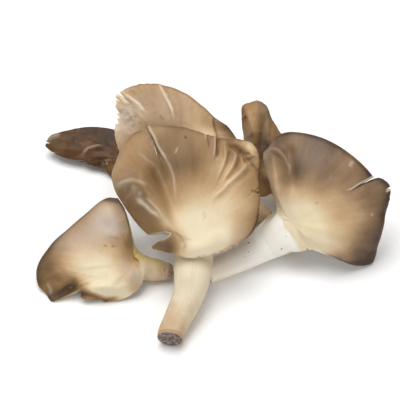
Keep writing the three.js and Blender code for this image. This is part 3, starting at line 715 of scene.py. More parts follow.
class Mushroom:
    """A whole mushroom as one closed skin, grown row by row from the navel to the foot."""

    def __init__(self, piece):
        self.piece = piece
        self.bearings = column_bearings(piece)
        self.angle = np.radians(self.bearings)
        self.cap = Cap(piece, self.bearings)
        self.reach = self.cap.reach
        self.rim = self.cap.rim_share()
        self.rings = stem_rings(piece, self.cap, STEM_TURNS)
        self.on_neck = on_ring(self.rings[0], self.bearings)
        self.neck_stain = stained(piece, self.bearings, 0)
        self.melt = np.zeros(len(self.bearings))
        for at, half_width in piece["melts"]:
            self.melt = np.maximum(self.melt, hump(turn_between(at, self.bearings), half_width, 8))
        self.skin = Skin(self.bearings)
        self.grow_top()
        self.plan_sweep()
        self.grow_rim()
        self.plan_gills()
        self.grow_underside()
        self.grow_neck()
        self.grow_stem()
        self.grow_foot()

    def grow_top(self):
        """The top of the cap, from the navel out. Rows near the navel keep fewer columns."""
        past = np.maximum(0, TOP_ROWS - UNTORN) / (1 - UNTORN)
        share = np.minimum(TOP_ROWS, UNTORN)[None, :] + past[None, :] * (self.rim[:, None] - UNTORN)
        normal = self.cap.normals(share)
        rise, pale, dark = relief(self.piece, self.cap, share)
        brown, tint, shine = tone(self.piece, self.cap, share)
        merging = self.melt[:, None] * smooth(share / self.rim[:, None], *MELT_COLOR)
        # dark is painted shade along the grooves of the creases
        brown = (brown + dark) * (1 - merging) + self.neck_stain[:, None] * merging
        places = self.cap.point(share) + normal * rise[..., None]
        heart_tone, heart_tint = brown[:, 0].mean(), tint[:, 0].mean()
        navel = self.skin.single(self.cap.heart, top=1, tone=heart_tone, tint=heart_tint)
        for k, top_row in enumerate(TOP_ROWS):
            row = self.skin.row(
                places[:, k],
                next((every for end, every in THINNED if top_row < end), 1),
                top=1 - merging[:, k],
                stemwards=STEM_COLOR_FROM * merging[:, k],
                far=self.reach * share[:, k] / FAR_UNIT,
                pale=pale[:, k],
                tone=brown[:, k],
                tint=tint[:, k],
                shine=shine[:, k],
            )
            if k == 0:
                self.skin.close(row, navel, True)
            else:
                self.skin.join(self.last_row, row)
            self.last_row = row
        self.rim_rise = normal[:, -1] * rise[:, -1:]
        self.rim_pale, self.rim_tone, self.rim_tint = pale[:, -1], brown[:, -1], tint[:, -1]

    def plan_sweep(self):
        """Where the cap melts into the stem, one smooth sweep runs from the rim to the stem."""
        self.inner = self.cap.ring(self.rim * LAST_TOP_ROW) + self.rim_rise
        self.outward = unit(self.cap.ring(self.rim) - self.cap.ring(self.rim - 0.02))
        self.melt_end = self.rings[MELT_RINGS]
        self.on_melt_end = on_ring(self.melt_end, self.bearings)
        self.leaving = unit(0.6 * self.outward + unit(self.on_melt_end - self.inner))
        self.swept = 0

    def melted(self, places):
        """The next row down, drawn over to the sweep where the cap melts into its stem."""
        self.swept += 1
        if self.swept >= SWEEP_ROWS:
            return places
        done = self.swept / SWEEP_ROWS
        sweep = bridge(self.inner, self.leaving, self.on_melt_end, -self.melt_end.axis, done)
        return places * (1 - self.melt[:, None]) + sweep * self.melt[:, None]

    def lower_row(self, places, top=0.0, **fields):
        """Adds a row under the cap, between the rim and the stem."""
        row = self.skin.row(
            self.melted(places),
            top=top * (1 - self.melt),
            stemwards=STEM_COLOR_FROM * self.melt,
            **{"tone": self.neck_stain * self.melt, **fields},
        )
        self.skin.join(self.last_row, row)
        self.last_row = row

    def grow_rim(self):
        """The rounded rim. Some mushrooms show bare flesh where they are torn."""
        drop = self.cap.up * (RIM_FLESH / self.cap.steepness(self.rim[:, None]))
        lower = self.cap.ring(self.rim) - drop
        middle = (self.inner + lower) / 2
        half = (self.inner - lower) / 2
        bare = self.piece["bare_tears"] * smooth(1 - self.rim, 0.015, 0.05)
        for k in range(1, EDGE_ROWS + 1):
            turn = pi * k / (EDGE_ROWS + 1)
            self.lower_row(
                middle + half * cos(turn) + self.outward * sin(turn) * RIM_FLESH * RIM_BULGE,
                top=0.5 + 0.5 * cos(turn),
                far=self.reach * self.rim / FAR_UNIT,
                pale=np.maximum(self.rim_pale, bare),
                tone=self.rim_tone,
                tint=self.rim_tint,
            )

    def plan_gills(self):
        """Every second column is a gill's edge; whole, short and half gills take turns."""
        order = np.arange(len(self.bearings))
        number = order // 2
        self.edge = (order % 2).astype(float)
        self.runs = np.select([number % 4 == 0, number % 4 == 2], [WHOLE_GILL, HALF_GILL], SHORT_GILL)
        self.gilled = smooth(self.reach, *GILLED_REACH)
        self.whole_gill = (self.runs > 1) * self.edge
        offset = self.on_neck - self.cap.heart
        along_fan, along_side = offset @ self.cap.fan, offset @ self.cap.side
        stem_side = along_fan * np.cos(self.angle) + along_side * np.sin(self.angle)
        wanted = (np.maximum(self.rings[0].radius, stem_side) + NECK_SWELL) / self.reach
        wanted = wanted / (1 + (wanted / OUTERMOST_NECK) ** 3) ** (1 / 3)
        self.neck_share = np.minimum(0.9 * self.rim, wanted)

    def underside(self, inward, with_gills=True):
        """Points under the cap, from the rim at 0 to the neck at 1."""
        share = self.rim * (1 - inward) + self.neck_share * inward
        flesh = RIM_FLESH + (HEART_FLESH - RIM_FLESH) * np.maximum(0, 1 - share) ** 1.6
        flesh = flesh / self.cap.steepness(share[:, None])[:, 0]
        place = self.cap.ring(share) - self.cap.up * flesh[:, None]
        if not with_gills:
            return place
        depth = smooth(inward, -0.02, 0.14) * (1 - GILL_THINNING * smooth(inward, 0.7, 1))
        depth = depth * (1 - smooth(inward, self.runs * 0.7, self.runs))
        return place - self.cap.up * (self.edge * self.gilled * GILL_DEPTH * depth)[:, None]

    def grow_underside(self):
        for inward in UNDERSIDE:
            self.lower_row(self.underside(inward), gill=self.edge * self.gilled * (1 - self.melt))

    def grow_neck(self):
        """The turn from the cap into the stem, down which the whole gills run."""
        neck = self.rings[0]
        start = self.underside(1, False)
        before = self.underside(0.9, False)
        straight = unit(self.on_neck - start)
        inwards = unit(start - before) * self.gilled[:, None] + straight * (1 - self.gilled[:, None])
        away = unit(self.on_neck - neck.centre)
        for share in np.linspace(0, 1, NECK_ROWS + 1)[1:]:
            place = bridge(start, inwards, self.on_neck, -neck.axis, share)
            hanging = -self.cap.up * (1 - share) + away * share
            depth = GILL_DEPTH * (1 - GILL_THINNING) * (1 - share) ** 0.8 + STEM_GILL_DEPTH * share
            place = place + hanging * (self.whole_gill * self.gilled * depth)[:, None]
            self.lower_row(place, gill=self.whole_gill * self.gilled * (1 - self.melt))

    def grow_stem(self):
        """The stem, with gills that die out on it, lumps, and the wrinkles that some have."""
        seed = self.piece["seed"]
        for k, ring in enumerate(self.rings[1:], 1):
            down = k / STEM_TURNS
            depth = STEM_GILL_DEPTH * np.maximum(0, 1 - k / GILL_RINGS)
            depth = depth * self.whole_gill * self.gilled * (1 - self.melt)
            level = np.full(len(self.angle), down * 1.6)
            spin = np.stack([3 * np.cos(self.angle), 3 * np.sin(self.angle), level], -1)
            lumps = 0.30 * grain(spin, seed + 5, 1.3) + 0.04 * grain(spin * [4, 4, 2], seed + 6, 1)
            wrinkles = self.piece["wrinkles"] * grain(spin * [0.7, 0.7, 12], seed + 12, 1)
            uneven = depth + lumps * smooth(down, 0.02, 0.2) + wrinkles * smooth(down, 0.3, 0.6)
            row = self.skin.row(
                self.melted(on_ring(ring, self.bearings, 1 + uneven / ring.radius)),
                1 if k < MELT_RINGS else 2 if k == MELT_RINGS else 4,
                stemwards=np.maximum(down, STEM_COLOR_FROM * self.melt),
                tone=stained(self.piece, self.bearings, down),
                gill=self.whole_gill * (depth > 0),
            )
            self.skin.join(self.last_row, row)
            self.last_row = row

    def grow_foot(self):
        """The cut foot, rounded at its edge and rough inside it."""
        seed = self.piece["seed"]
        foot = self.rings[-1]
        edge = self.piece["foot_edge"]
        edge_share = edge / foot.radius
        turns = np.linspace(0, pi / 2, 6)[1:]
        profile = [(1 - edge_share * (1 - cos(turn)), sin(turn)) for turn in turns]
        profile += [(scale * (1 - edge_share), 1) for scale in np.linspace(1, 0, 9)[1:-1]]
        for scale, drop in profile:
            across, up = scale * np.cos(self.angle) * 8, scale * np.sin(self.angle) * 8
            flat = np.stack([across, up, 0 * self.angle], -1)
            rough = 0.5 * grain(flat, seed + 7, 2.6) + 0.25 * grain(flat, seed + 8, 1.1)
            rough = rough * smooth(1 - scale, 0.0, 0.2)
            row = self.skin.row(
                on_ring(foot, self.bearings, scale, edge * drop + rough),
                4,
                stemwards=1,
                cut=1 if scale < 0.97 else 0.4,
            )
            self.skin.join(self.last_row, row)
            self.last_row = row
        middle = self.skin.single(foot.centre - foot.axis * edge, stemwards=1, cut=1)
        self.skin.close(self.last_row, middle, False)


def make_piece(piece):
    skin = Mushroom(piece).skin
    points = np.concatenate(skin.points)
    points[:, 2] = np.maximum(points[:, 2], 0)
    points = (points - HEAP_MIDDLE) * MM
    mesh = bpy.data.meshes.new(piece["name"])
    mesh.from_pydata(points.tolist(), [], [[int(v) for v in face] for face in skin.faces])
    mesh.update()
    for name in Skin.FIELDS:
        field = mesh.attributes.new(name, "FLOAT", "POINT")
        field.data.foreach_set("value", np.concatenate(skin.fields[name]).astype(np.float32))
    mesh.polygons.foreach_set("use_smooth", np.ones(len(mesh.polygons), bool))
    body = bpy.data.objects.new(piece["name"], mesh)
    bpy.context.scene.collection.objects.link(body)
    work = bmesh.new()
    work.from_mesh(mesh)
    bmesh.ops.recalc_face_normals(work, faces=work.faces)
    work.to_mesh(mesh)
    work.free()
    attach(body, "root")
    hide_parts(piece["node"])
    return body


def add_node(tree, kind, inputs=None, **settings):
    """Adds a shader node; each input is a value or the socket that feeds it."""
    node = tree.nodes.new(kind)
    for name, value in settings.items():
        setattr(node, name, value)
    for name, value in (inputs or {}).items():
        if isinstance(value, bpy.types.NodeSocket):
            tree.links.new(value, node.inputs[name])
        else:
            node.inputs[name].default_value = value
    return node


def sum_of(tree, a, b, factor=1.0):
    """a + factor * b."""
    return add_node(tree, "ShaderNodeMath", {0: b, 1: factor, 2: a}, operation="MULTIPLY_ADD").outputs[0]


def product(tree, a, b):
    return add_node(tree, "ShaderNodeMath", {0: a, 1: b}, operation="MULTIPLY").outputs[0]


def ranged(tree, value, low, high, to_low=0.0, to_high=1.0):
    inputs = {"Value": value, "From Min": low, "From Max": high, "To Min": to_low, "To Max": to_high}
    return add_node(tree, "ShaderNodeMapRange", inputs, interpolation_type="SMOOTHSTEP").outputs[0]


def blend_values(tree, factor, a, b):
    inputs = {MIX_FACTOR: factor, MIX_VALUE_A: a, MIX_VALUE_B: b}
    return add_node(tree, "ShaderNodeMix", inputs, data_type="FLOAT").outputs[MIX_VALUE_OUT]


def blend_colors(tree, factor, a, b, way="MIX"):
    """Blends two colours, each a socket or a red, green and blue."""
    a, b = (color if isinstance(color, bpy.types.NodeSocket) else (*color, 1) for color in (a, b))
    inputs = {MIX_FACTOR: factor, MIX_COLOR_A: a, MIX_COLOR_B: b}
    node = add_node(tree, "ShaderNodeMix", inputs, data_type="RGBA", blend_type=way)
    return node.outputs[MIX_COLOR_OUT]


def noise(tree, vector, scale, detail, roughness):
    inputs = {"Vector": vector, "Scale": scale, "Detail": detail, "Roughness": roughness}
    return add_node(tree, "ShaderNodeTexNoise", inputs).outputs["Fac"]


def new_group(name, inputs, outputs):
    tree = bpy.data.node_groups.new(name, "ShaderNodeTree")
    for label, kind in inputs:
        tree.interface.new_socket(label, in_out="INPUT", socket_type="NodeSocket" + kind)
    for label, kind in outputs:
        tree.interface.new_socket(label, in_out="OUTPUT", socket_type="NodeSocket" + kind)
    return tree, tree.nodes.new("NodeGroupInput").outputs, tree.nodes.new("NodeGroupOutput").inputs


def streaky(tree, given, turns, stretch, detail=2, roughness=0.6):
    """Noise that runs in streaks along the spokes or down the stem, with no seam round them."""
    axes = {
        "X": product(tree, given["Cos"], turns),
        "Y": product(tree, given["Sin"], turns),
        "Z": product(tree, given["Along"], stretch),
    }
    rays = add_node(tree, "ShaderNodeCombineXYZ", axes).outputs[0]
    return noise(tree, rays, 1, detail, roughness)


def build_skin_pattern():
    """Streaks, blotches and fine fibres of a cap's skin, as a change of tone and a relief."""
    tree, given, made = new_group(
        "cap skin pattern",
        [(name, "Float") for name in ("Tone", "Cos", "Sin", "Along", "Streaks", "Blotches")],
        [("Tone", "Float"), ("Relief", "Float"), ("Roughness", "Float")],
    )
    in_space = add_node(tree, "ShaderNodeTexCoord").outputs["Object"]
    wide = streaky(tree, given, 7, 1.6, 3)
    narrow = streaky(tree, given, 26, 3)
    fibres = streaky(tree, given, 60, 6)
    blotches = noise(tree, in_space, BLOTCHES_A_METRE, 3, 0.6)
    mottle = noise(tree, in_space, MOTTLES_A_METRE, 3, 0.6)
    outwards = ranged(tree, given["Along"], 0.2, 0.75)
    streaks = sum_of(tree, sum_of(tree, -0.75, wide), narrow, 0.5)
    streaked = product(tree, product(tree, streaks, given["Streaks"]), outwards)
    blotched = product(tree, sum_of(tree, -0.5, blotches), given["Blotches"])
    tone_now = sum_of(tree, sum_of(tree, given["Tone"], streaked), blotched)
    tone_now = sum_of(tree, tone_now, sum_of(tree, -0.5, mottle), 0.08)
    tree.links.new(tone_now, made["Tone"])
    grooves = product(tree, sum_of(tree, fibres, narrow), product(tree, outwards, 0.6))
    tree.links.new(sum_of(tree, grooves, mottle, 0.35), made["Relief"])
    tree.links.new(ranged(tree, tone_now, 0.1, 0.6, 0.75, 0.48), made["Roughness"])
    return tree


def build_stem_pattern():
    """Cream stem flesh that turns tan downwards, with long fibres, blemishes and dark specks."""
    tree, given, made = new_group(
        "stem flesh pattern",
        [(name, "Float") for name in ("Cos", "Sin", "Along", "Specks")]
        + [("Neck Color", "Color"), ("Foot Color", "Color")],
        [("Color", "Color"), ("Relief", "Float")],
    )
    in_space = add_node(tree, "ShaderNodeTexCoord").outputs["Object"]
    fibres = streaky(tree, given, 9, 1.6, 4, 0.65)
    fine = streaky(tree, given, 34, 6)
    bruises = noise(tree, in_space, BRUISES_A_METRE, 3, 0.6)
    lower = sum_of(tree, given["Along"], sum_of(tree, -0.5, bruises), 0.9)
    color = blend_colors(tree, ranged(tree, lower, 0.15, 1.0), given["Neck Color"], given["Foot Color"])
    darker = blend_colors(tree, 1.0, color, FIBRE_SHADE, "MULTIPLY")
    color = blend_colors(tree, ranged(tree, fibres, 0.45, 0.75, 0, 0.3), color, darker)
    cells = {"Vector": in_space, "Scale": GRAINS_A_METRE, "Randomness": 1}
    grains = add_node(tree, "ShaderNodeTexVoronoi", cells)
    chosen = add_node(tree, "ShaderNodeSeparateColor", {0: grains.outputs["Color"]}).outputs[0]
    small = ranged(tree, grains.outputs["Distance"], 0.14, 0.26, 1, 0)
    few = ranged(tree, chosen, *SPECKLED)
    specks = product(tree, product(tree, small, few), given["Specks"])
    tree.links.new(blend_colors(tree, specks, color, SPECK_BROWN), made["Color"])
    grooves = product(tree, sum_of(tree, fibres, fine, 0.5), 0.4)
    tree.links.new(sum_of(tree, grooves, specks, -1.0), made["Relief"])
    return tree


SKIN_PATTERN = build_skin_pattern()
STEM_PATTERN = build_stem_pattern()


def mushroom_flesh(name, skin_colors, looks):
    """Skin on the cap, cream flesh on gills and stem, torn pale edges and a dirty cut."""
    material = bpy.data.materials.new(name)
    material.use_nodes = True
    tree = material.node_tree
    shader = tree.nodes["Principled BSDF"]
    fields = {}
    for field in Skin.FIELDS:
        fields[field] = add_node(tree, "ShaderNodeAttribute", attribute_name=field).outputs["Fac"]
    skin_values = {
        "Cos": fields["bearing_cos"],
        "Sin": fields["bearing_sin"],
        "Along": fields["far"],
        "Tone": fields["tone"],
        "Streaks": looks["streaks"],
        "Blotches": looks["blotches"],
    }
    stem_values = {
        "Cos": fields["bearing_cos"],
        "Sin": fields["bearing_sin"],
        "Along": fields["stemwards"],
        "Specks": looks["specks"],
        "Neck Color": (*looks["neck"], 1),
        "Foot Color": (*looks["foot"], 1),
    }
    skin = add_node(tree, "ShaderNodeGroup", skin_values, node_tree=SKIN_PATTERN).outputs
    stem = add_node(tree, "ShaderNodeGroup", stem_values, node_tree=STEM_PATTERN).outputs
    ramp = add_node(tree, "ShaderNodeValToRGB", {"Fac": skin["Tone"]})
    stops = ramp.color_ramp.elements
    while len(stops) < len(skin_colors):
        stops.new(0.5)
    for stop, (position, color) in zip(stops, skin_colors):
        stop.position = position
        stop.color = (*color, 1)

    # Flesh: gills that give way to the stem, and the stains on it; the back right mushroom's stem stain is
    # painted shade.
    gills = blend_colors(tree, fields["gill"], looks["gill_valley"], looks["gill_edge"])
    on_stem = ranged(tree, fields["stemwards"], 0.0, STEM_COLOR_FROM)
    flesh = blend_colors(tree, on_stem, gills, stem["Color"])
    flesh = blend_colors(tree, fields["tone"], flesh, looks["stain"])

    # Skin: its warm and cool tints, pale flesh where it is torn, and painted highlights along ridges.
    warm = ranged(tree, fields["tint"], 0, 1)
    cool = ranged(tree, fields["tint"], 0, -1)
    tinted = blend_colors(tree, warm, ramp.outputs["Color"], looks["warm"], "MULTIPLY")
    tinted = blend_colors(tree, cool, tinted, looks["cool"])
    torn_flesh_and_highlights = blend_colors(tree, fields["pale"], tinted, looks["torn"])

    # Both together, and the cut at the foot.
    color = blend_colors(tree, ranged(tree, fields["top"], 0.15, 0.6), flesh, torn_flesh_and_highlights)
    in_space = add_node(tree, "ShaderNodeTexCoord").outputs["Object"]
    crumbs = noise(tree, in_space, CRUMBS_A_METRE, 4, 0.7)
    cut_color = blend_colors(tree, ranged(tree, crumbs, 0.35, 0.65), looks["cut_dark"], looks["cut_light"])
    color = blend_colors(tree, fields["cut"], color, cut_color)
    tree.links.new(color, shader.inputs["Base Color"])

    height = blend_values(tree, fields["top"], stem["Relief"], skin["Relief"])
    height = sum_of(tree, height, product(tree, crumbs, fields["cut"]), 3)
    bump = add_node(tree, "ShaderNodeBump", {"Height": height, "Distance": RELIEF_HEIGHT, "Strength": 1.0})
    tree.links.new(bump.outputs["Normal"], shader.inputs["Normal"])
    roughness = blend_values(tree, fields["top"], FLESH_ROUGHNESS, skin["Roughness"])
    tree.links.new(roughness, shader.inputs["Roughness"])
    tree.links.new(ranged(tree, fields["shine"], 0, 1), shader.inputs["Coat Weight"])
    shader.inputs["Coat Roughness"].default_value = 0.3
    shader.inputs["Specular IOR Level"].default_value = 0.22
    shader.inputs["Subsurface Weight"].default_value = 0.12
    shader.inputs["Subsurface Radius"].default_value = (0.0030, 0.0018, 0.0010)
    shader.inputs["Subsurface Scale"].default_value = 1.0
    return material


TAN_SKIN = [
    (0.0, (0.78, 0.675, 0.475)),
    (0.25, (0.59, 0.417, 0.236)),
    (0.5, (0.375, 0.232, 0.110)),
    (0.75, (0.225, 0.132, 0.057)),
    (1.0, (0.08, 0.044, 0.021)),
]
TAN_LOOKS = dict(
    streaks=0.2,
    blotches=0.16,
    specks=0.3,
    neck=(0.78, 0.68, 0.50),
    foot=(0.56, 0.39, 0.23),
    # torn flesh, also the colour of the painted highlights along ridges
    torn=(0.86, 0.74, 0.56),
    stain=(0.24, 0.15, 0.085),
    warm=(1.0, 0.80, 0.45),
    cool=(0.54, 0.46, 0.40),
    gill_valley=(0.62, 0.50, 0.34),
    gill_edge=(0.82, 0.73, 0.56),
    cut_dark=(0.10, 0.075, 0.06),
    cut_light=(0.34, 0.27, 0.23),
)

centre_body = make_piece(centre)
centre_body.data.materials.append(mushroom_flesh("tan mushroom flesh", TAN_SKIN, TAN_LOOKS))

# ---- Right mushroom ----
#
# A large mushroom of one growth, whose stem lies along the table and whose cap stands up at its
# end. Its skin is grey-brown with a dark rim, torn once at the right, and its left edge is rolled
# inwards. Nothing holds it but its weight.

right = dict(
    name="right_mushroom_body",
    node="right_mushroom",
    gills=232,
    navel=(52.7, 70.2, 29.7),
    faces=(-0.15, -0.7, 0.7),
    spreads=(0.79, 0.46, 0.41),
    stem=[
        (5, 52.9, 5.8, 6.4),
        (14, 57.1, 6.4, 7),
        (24.5, 62.6, 7.7, 8),
        (35.5, 68.6, 10.8, 9.8),
        (46.8, 75.5, 13, 12.5),
    ],
    foot_edge=0.9,
    wrinkles=0,
    spokes=[
        (-160, 8, -1, 0, 0),
        (-130, 9, -2, 0, 0),
        (-110, 10, -3, 1, 0),
        (-97, 12.5, -4, 1, 0),
        (-89, 17.5, -5, 2, 0),
        (-83, 28, -8, 4, 5),
        (-76, 50, -13, 8, 40),
        (-62, 52.4, -10, 5, 20),
        (-42, 51.5, -8, 3, 10),
        (-18, 51, -8, 3, 10),
        (8, 53, -8, 3, 10),
        (13, 57.5, -9, 3, 10),
        (18, 59.5, -9, 3, 10),
        (36, 53, -10, 3, 10),
        (54, 52, -16, 4, 15),
        (66, 53, -21, 4, 10),
        (74, 46, -16, 3, 10),
        (82, 28, -8, 2, 10),
        (97, 19, -5, 1, 0),
        (114, 17, -3, 1, 0),
        (132, 12, -1.5, 0, 0),
        (155, 9, -1, 0, 0),
    ],
    slips=[(9.4, 0.4, -1.4)],
    cuts=[
        [(9.1, 1), (9.3, 0.84), (9.4, 0.7), (9.5, 0.84), (9.9, 0.97), (10.6, 1)],
        [(18.2, 1), (18.8, 0.965), (19.4, 1)],
    ],
    bare_tears=1,
    ragged=[(92, 14, 2.6), (20, 12, 0.5), (60, 30, 0.3)],
    folds=[
        (-52, 5, 0.5, 0.4, 0.9),
        (-38, 6, -0.4, 0.4, 0.9),
        (34, 7, -0.5, 0.4, 0.9),
        (52, 5, 0.6, 0.4, 0.9),
    ],
    rolls=[
        ([(20, -46), (14, -36), (10.5, -26), (6.5, -18), (2.5, -11)], 4.2, 4.8),
        ([(27, -38), (20, -28), (15, -20), (8, -12)], 4.0, -3.2),
        ([(4, -12), (0, -4), (-2.4, 8.9), (-3.8, 17)], 2.6, -1.3),
    ],
    creases=[
        # a tear's pale flesh, then painted shadow in the gap under it
        ([(60, 8.9), (50, 7.6), (42, 6.1), (34, 5.1)], 0.5, 0.4, 0.7),
        ([(62, 10.4), (52, 8.9), (44, 7.1), (37, 6)], 0.5, -0.6, -0.5),
        ([(15.6, -48), (17, -44), (19.5, -38), (20, -32), (18.4, -26), (14.4, -19.5)], 0.65, 0.35, 0.17),
        ([(14, -45), (15.5, -41), (17.5, -36), (18, -31)], 0.6, -0.3, -0.12),
        ([(45, -5.2), (48, -6.2), (50, -6)], 1.2, -0.3, 0.25),
        ([(17, -1), (19, 0.5)], 0.6, -0.2, -0.2),
        ([(37.5, 24), (39.5, 25.2)], 0.8, 0.2, 0.25),
        ([(53, 19.4), (56.5, 19.6)], 0.5, 0.3, 0.8),
        ([(4.6, 29), (3.2, 26.5), (0.8, 22.8), (-1.5, 19)], 1.4, 0.3, 0.75),
    ],
    crumples=[(40, 0, 30, 0.3, 10)],
    heart=(4, 8, 22, 27),
    browns=(0.6, 0.64),
    washes=[
        (18, -24, 14, 6, 30, 0.10),
        (34, -20, 20, 13, 0, 0.20),
        (26, -8, 12, 7, 0, 0.14),
        (22, 12, 13, 14, 0, 0.06),
        (46, 22, 8, 22, -8, 0.14),
        (36, 18, 8, 8, 0, -0.06),
        (16, 40, 16, 7, -40, 0.34),
        (0, 22, 5, 5, 0, -0.20),
        (7, 33, 5, 5, 0, 0.36),
        (11, -28, 8, 4, 60, -0.12),
        (44, -30, 10, 10, 0, 0.14),
        # painted shade in the groove beside the rolled left edge
        (18, -20, 8, 6, -30, 0.26),
        (22, -42, 10, 6, -30, 0.28),
        (31, 22, 8, 12, 0, -0.16),
        (5, 15, 5, 5, 0, -0.25),
        (33, 33, 9, 7, 0, 0.12),
        (15, 36, 8, 5, 0, 0.08),
    ],
    rims=[(24, 26, 4, 0.28), (58, 11, 7, 0.25), (72, 12, 5, 0.4), (-30, 50, 1.5, 0.25)],
    tints=[(34, -20, 14, 16, 0, -0.2), (24, 16, 14, 14, 0, 0.3), (8, 8, 10, 12, 0, 0.15)],
    shines=[(9, -26, 14, 2.5, 60, 0.5), (40, -24, 12, 12, 0, 0.12)],
    melts=[(-180, 74)],
    stains=[(0.03, 180, 0.03, 400, 0.10), (0.3, 0, 0.5, 60, 0.05)],
    seed=23,
)
GREY_BROWN_SKIN = [
    (0.0, (0.79, 0.68, 0.47)),
    (0.25, (0.60, 0.42, 0.246)),
    (0.5, (0.36, 0.229, 0.124)),
    (0.75, (0.205, 0.125, 0.067)),
    (1.0, (0.07, 0.038, 0.023)),
]
right_looks = {
    **TAN_LOOKS,
    # stem colours near white: painted light making up for the shade that the centre cap casts on the stem
    "neck": (0.97, 0.93, 0.85),
    "foot": (0.95, 0.84, 0.70),
    "cut_dark": (0.72, 0.58, 0.44),
    "cut_light": (0.90, 0.78, 0.64),
    "specks": 1.0,
}
right_body = make_piece(right)
right_body.data.materials.append(mushroom_flesh("grey-brown mushroom flesh", GREY_BROWN_SKIN, right_looks))

# ---- Left mushroom ----
#
# A pale mushroom that lies on its rim, with its front edge curled and only a wrinkled stub of
# stem, yellowed where it was pulled from the bunch.

left = dict(
    name="left_mushroom_body",
    node="left_mushroom",
    gills=192,
    navel=(-38, 50.1, 17),
    faces=(-0.1, -0.42, 0.9),
    spreads=(-1, 0.25, 0.1),
    stem=[
        (-19.4, 53.8, 5.4, 5.2),
        (-24.2, 54, 6.2, 6.2),
        (-29.5, 54.2, 7.2, 6.8),
    ],
    foot_edge=3.5,
    wrinkles=0.35,
    spokes=[
        (-165, 7, -2, 0, 0),
        (-140, 9, -3, 1, 0),
        (-124, 11.5, -4, 1, 0),
        (-107, 14.5, -5, 2, 0),
        (-89, 18.5, -6, 3, 0),
        (-74, 23, -6, 3, 0),
        (-60, 31, -6, 4, 0),
        (-50, 43, -5, 3, 0),
        (-39, 51.5, -3, 2, 0),
        (-32, 53, -4, 2, 0),
        (-25, 56.5, -4, 2, 0),
        (-17, 57.5, -5, 3, 5),
        (0, 53, -5, 3, 15),
        (16, 46, -3, 3, 15),
        (34, 43.5, -3, 2, 15),
        (50, 44.5, -2, 1, 15),
        (60, 42, -1, 0, 10),
        (65, 33, 0, 0, 5),
        (69, 16, 0, 0, 0),
        (76, 8, 0, 0, 0),
        (90, 6, -1, 0, 0),
        (145, 6, -2, 0, 0),
    ],
    slips=[],
    cuts=[
        [
            (-74, 1),
            (-66, 0.96),
            (-60, 0.88),
            (-54, 0.82),
            (-49, 0.785),
            (-46, 0.755),
            (-43.5, 0.685),
            (-40.2, 0.65),
            (-39.6, 0.66),
            (-39, 0.8),
            (-38.4, 0.97),
            (-37.6, 1),
        ]
    ],
    bare_tears=0,
    ragged=[(66, 8, 1.2), (-60, 30, 0.4)],
    folds=[
        (30, 8, 0.4, 0.3, 0.9),
    ],
    rolls=[
        ([(52, -24), (47.5, -19), (43.3, -16), (37, -14)], 2.0, 0.9),
        ([(41, -30), (35, -25), (31, -19.5), (30, -15)], 3.0, -2.0),
        ([(29, -23), (27, -19.5), (21, -20), (14.8, -18.2), (6.5, -17.5), (-1.3, -13.6), (-6, -8)], 2.3, 1.7),
        ([(28, -14), (20, -14.5), (12, -13.5), (4, -11)], 3.0, -0.8),
        ([(34, 34), (22, 25), (10, 17)], 5.5, 1.6),
        ([(27, 15), (16, 17.5), (5, 15)], 4, -0.8),
        ([(-3, 1), (-5, -3), (-6.7, -6.7), (-9, -11)], 1.6, -0.8),
    ],
    creases=[
        ([(46, -22), (43, -25), (42, -29)], 0.8, 0.4, 0.2),
        ([(19.6, 5.2), (17.2, 5.8)], 0.4, -0.3, -0.4),
        ([(14.8, 6), (13.2, 7), (11.6, 7.2)], 0.4, -0.3, -0.35),
        ([(12, 12), (16, 11.5), (19, 12)], 0.4, -0.3, -0.25),
    ],
    crumples=[(30, -22, 14, 0.5, 5), (10, 18, 8, 0.2, 4)],
    heart=(12, -10, 24, 15),
    browns=(0.42, 0.52),
    washes=[
        (46, -8, 9, 12, 0, 0.16),
        # painted shade where the tip curls down and away
        (34.5, -25, 8, 3.6, -38, 0.55),
        (44, -24, 8, 4, 20, 0.16),
        (47, -27, 3, 5, 0, -0.2),
        (27, -23, 3, 3, 0, 0.3),
        (24, -20.5, 5, 3, 0, 0.3),
        (25, 26, 6, 5, 0, -0.16),
        (2, 8, 10, 8, 0, 0.2),
        (22, 34.5, 10, 2.2, -4, 0.5),
        (16, 17.5, 5, 5, 0, 0.10),
        (15, 31, 5, 3, 0, 0.2),
        (6, 13, 3, 5, 0, 0.25),
        (8, 3, 8, 6, 0, 0.05),
        (16, -23.5, 7, 1.6, 0, 0.6),
        (24, -24.5, 5, 2.4, 0, 0.5),
        (10, -19, 12, 1.6, -8, -0.4),
        (33, -17.5, 8, 3.5, -20, 0.4),
        (41, -17, 6, 5, 0, 0.25),
        (49, -12, 5, 8, 0, 0.24),
        (6, 20, 7, 5, 30, 0.25),
        (4, 4, 6, 5, 0, 0.2),
        (14, 10, 8, 4, 0, 0.1),
        (3, -5, 5, 5, 0, 0.26),
        (11, -1, 5, 5, 0, 0.12),
        (-4, -11, 5, 4, 0, 0.18),
        # painted shade inside the curl of the tip
        (32, -22, 4, 2.4, -38, 0.5),
    ],
    rims=[(-14, 26, 4, 0.35), (25, 26, 1.4, 0.4), (-58, 18, 2.4, 0.7), (64, 9, 2.4, 0.8)],
    tints=[
        (24, 25, 10, 8, 0, -0.5),
        (16, 17, 8, 5, 0, -0.5),
        (1, 8, 10, 3.5, 30, 1.0),
        (-3, 4, 4, 3, 0, 0.7),
        (-4, -8, 6, 5, 0, -0.5),
        (4, -4, 6, 6, 0, -0.35),
        (40, 4, 16, 12, 0, -0.3),
        (26, 12, 14, 12, 0, -0.35),
    ],
    shines=[(26, 27, 6, 5, 0, 0.25)],
    melts=[(147, 80)],
    stains=[(0, 95, 0.5, 45, 1.0), (0.35, 110, 0.3, 50, 0.6), (0.7, 150, 0.2, 30, 0.4)],
    seed=37,
)
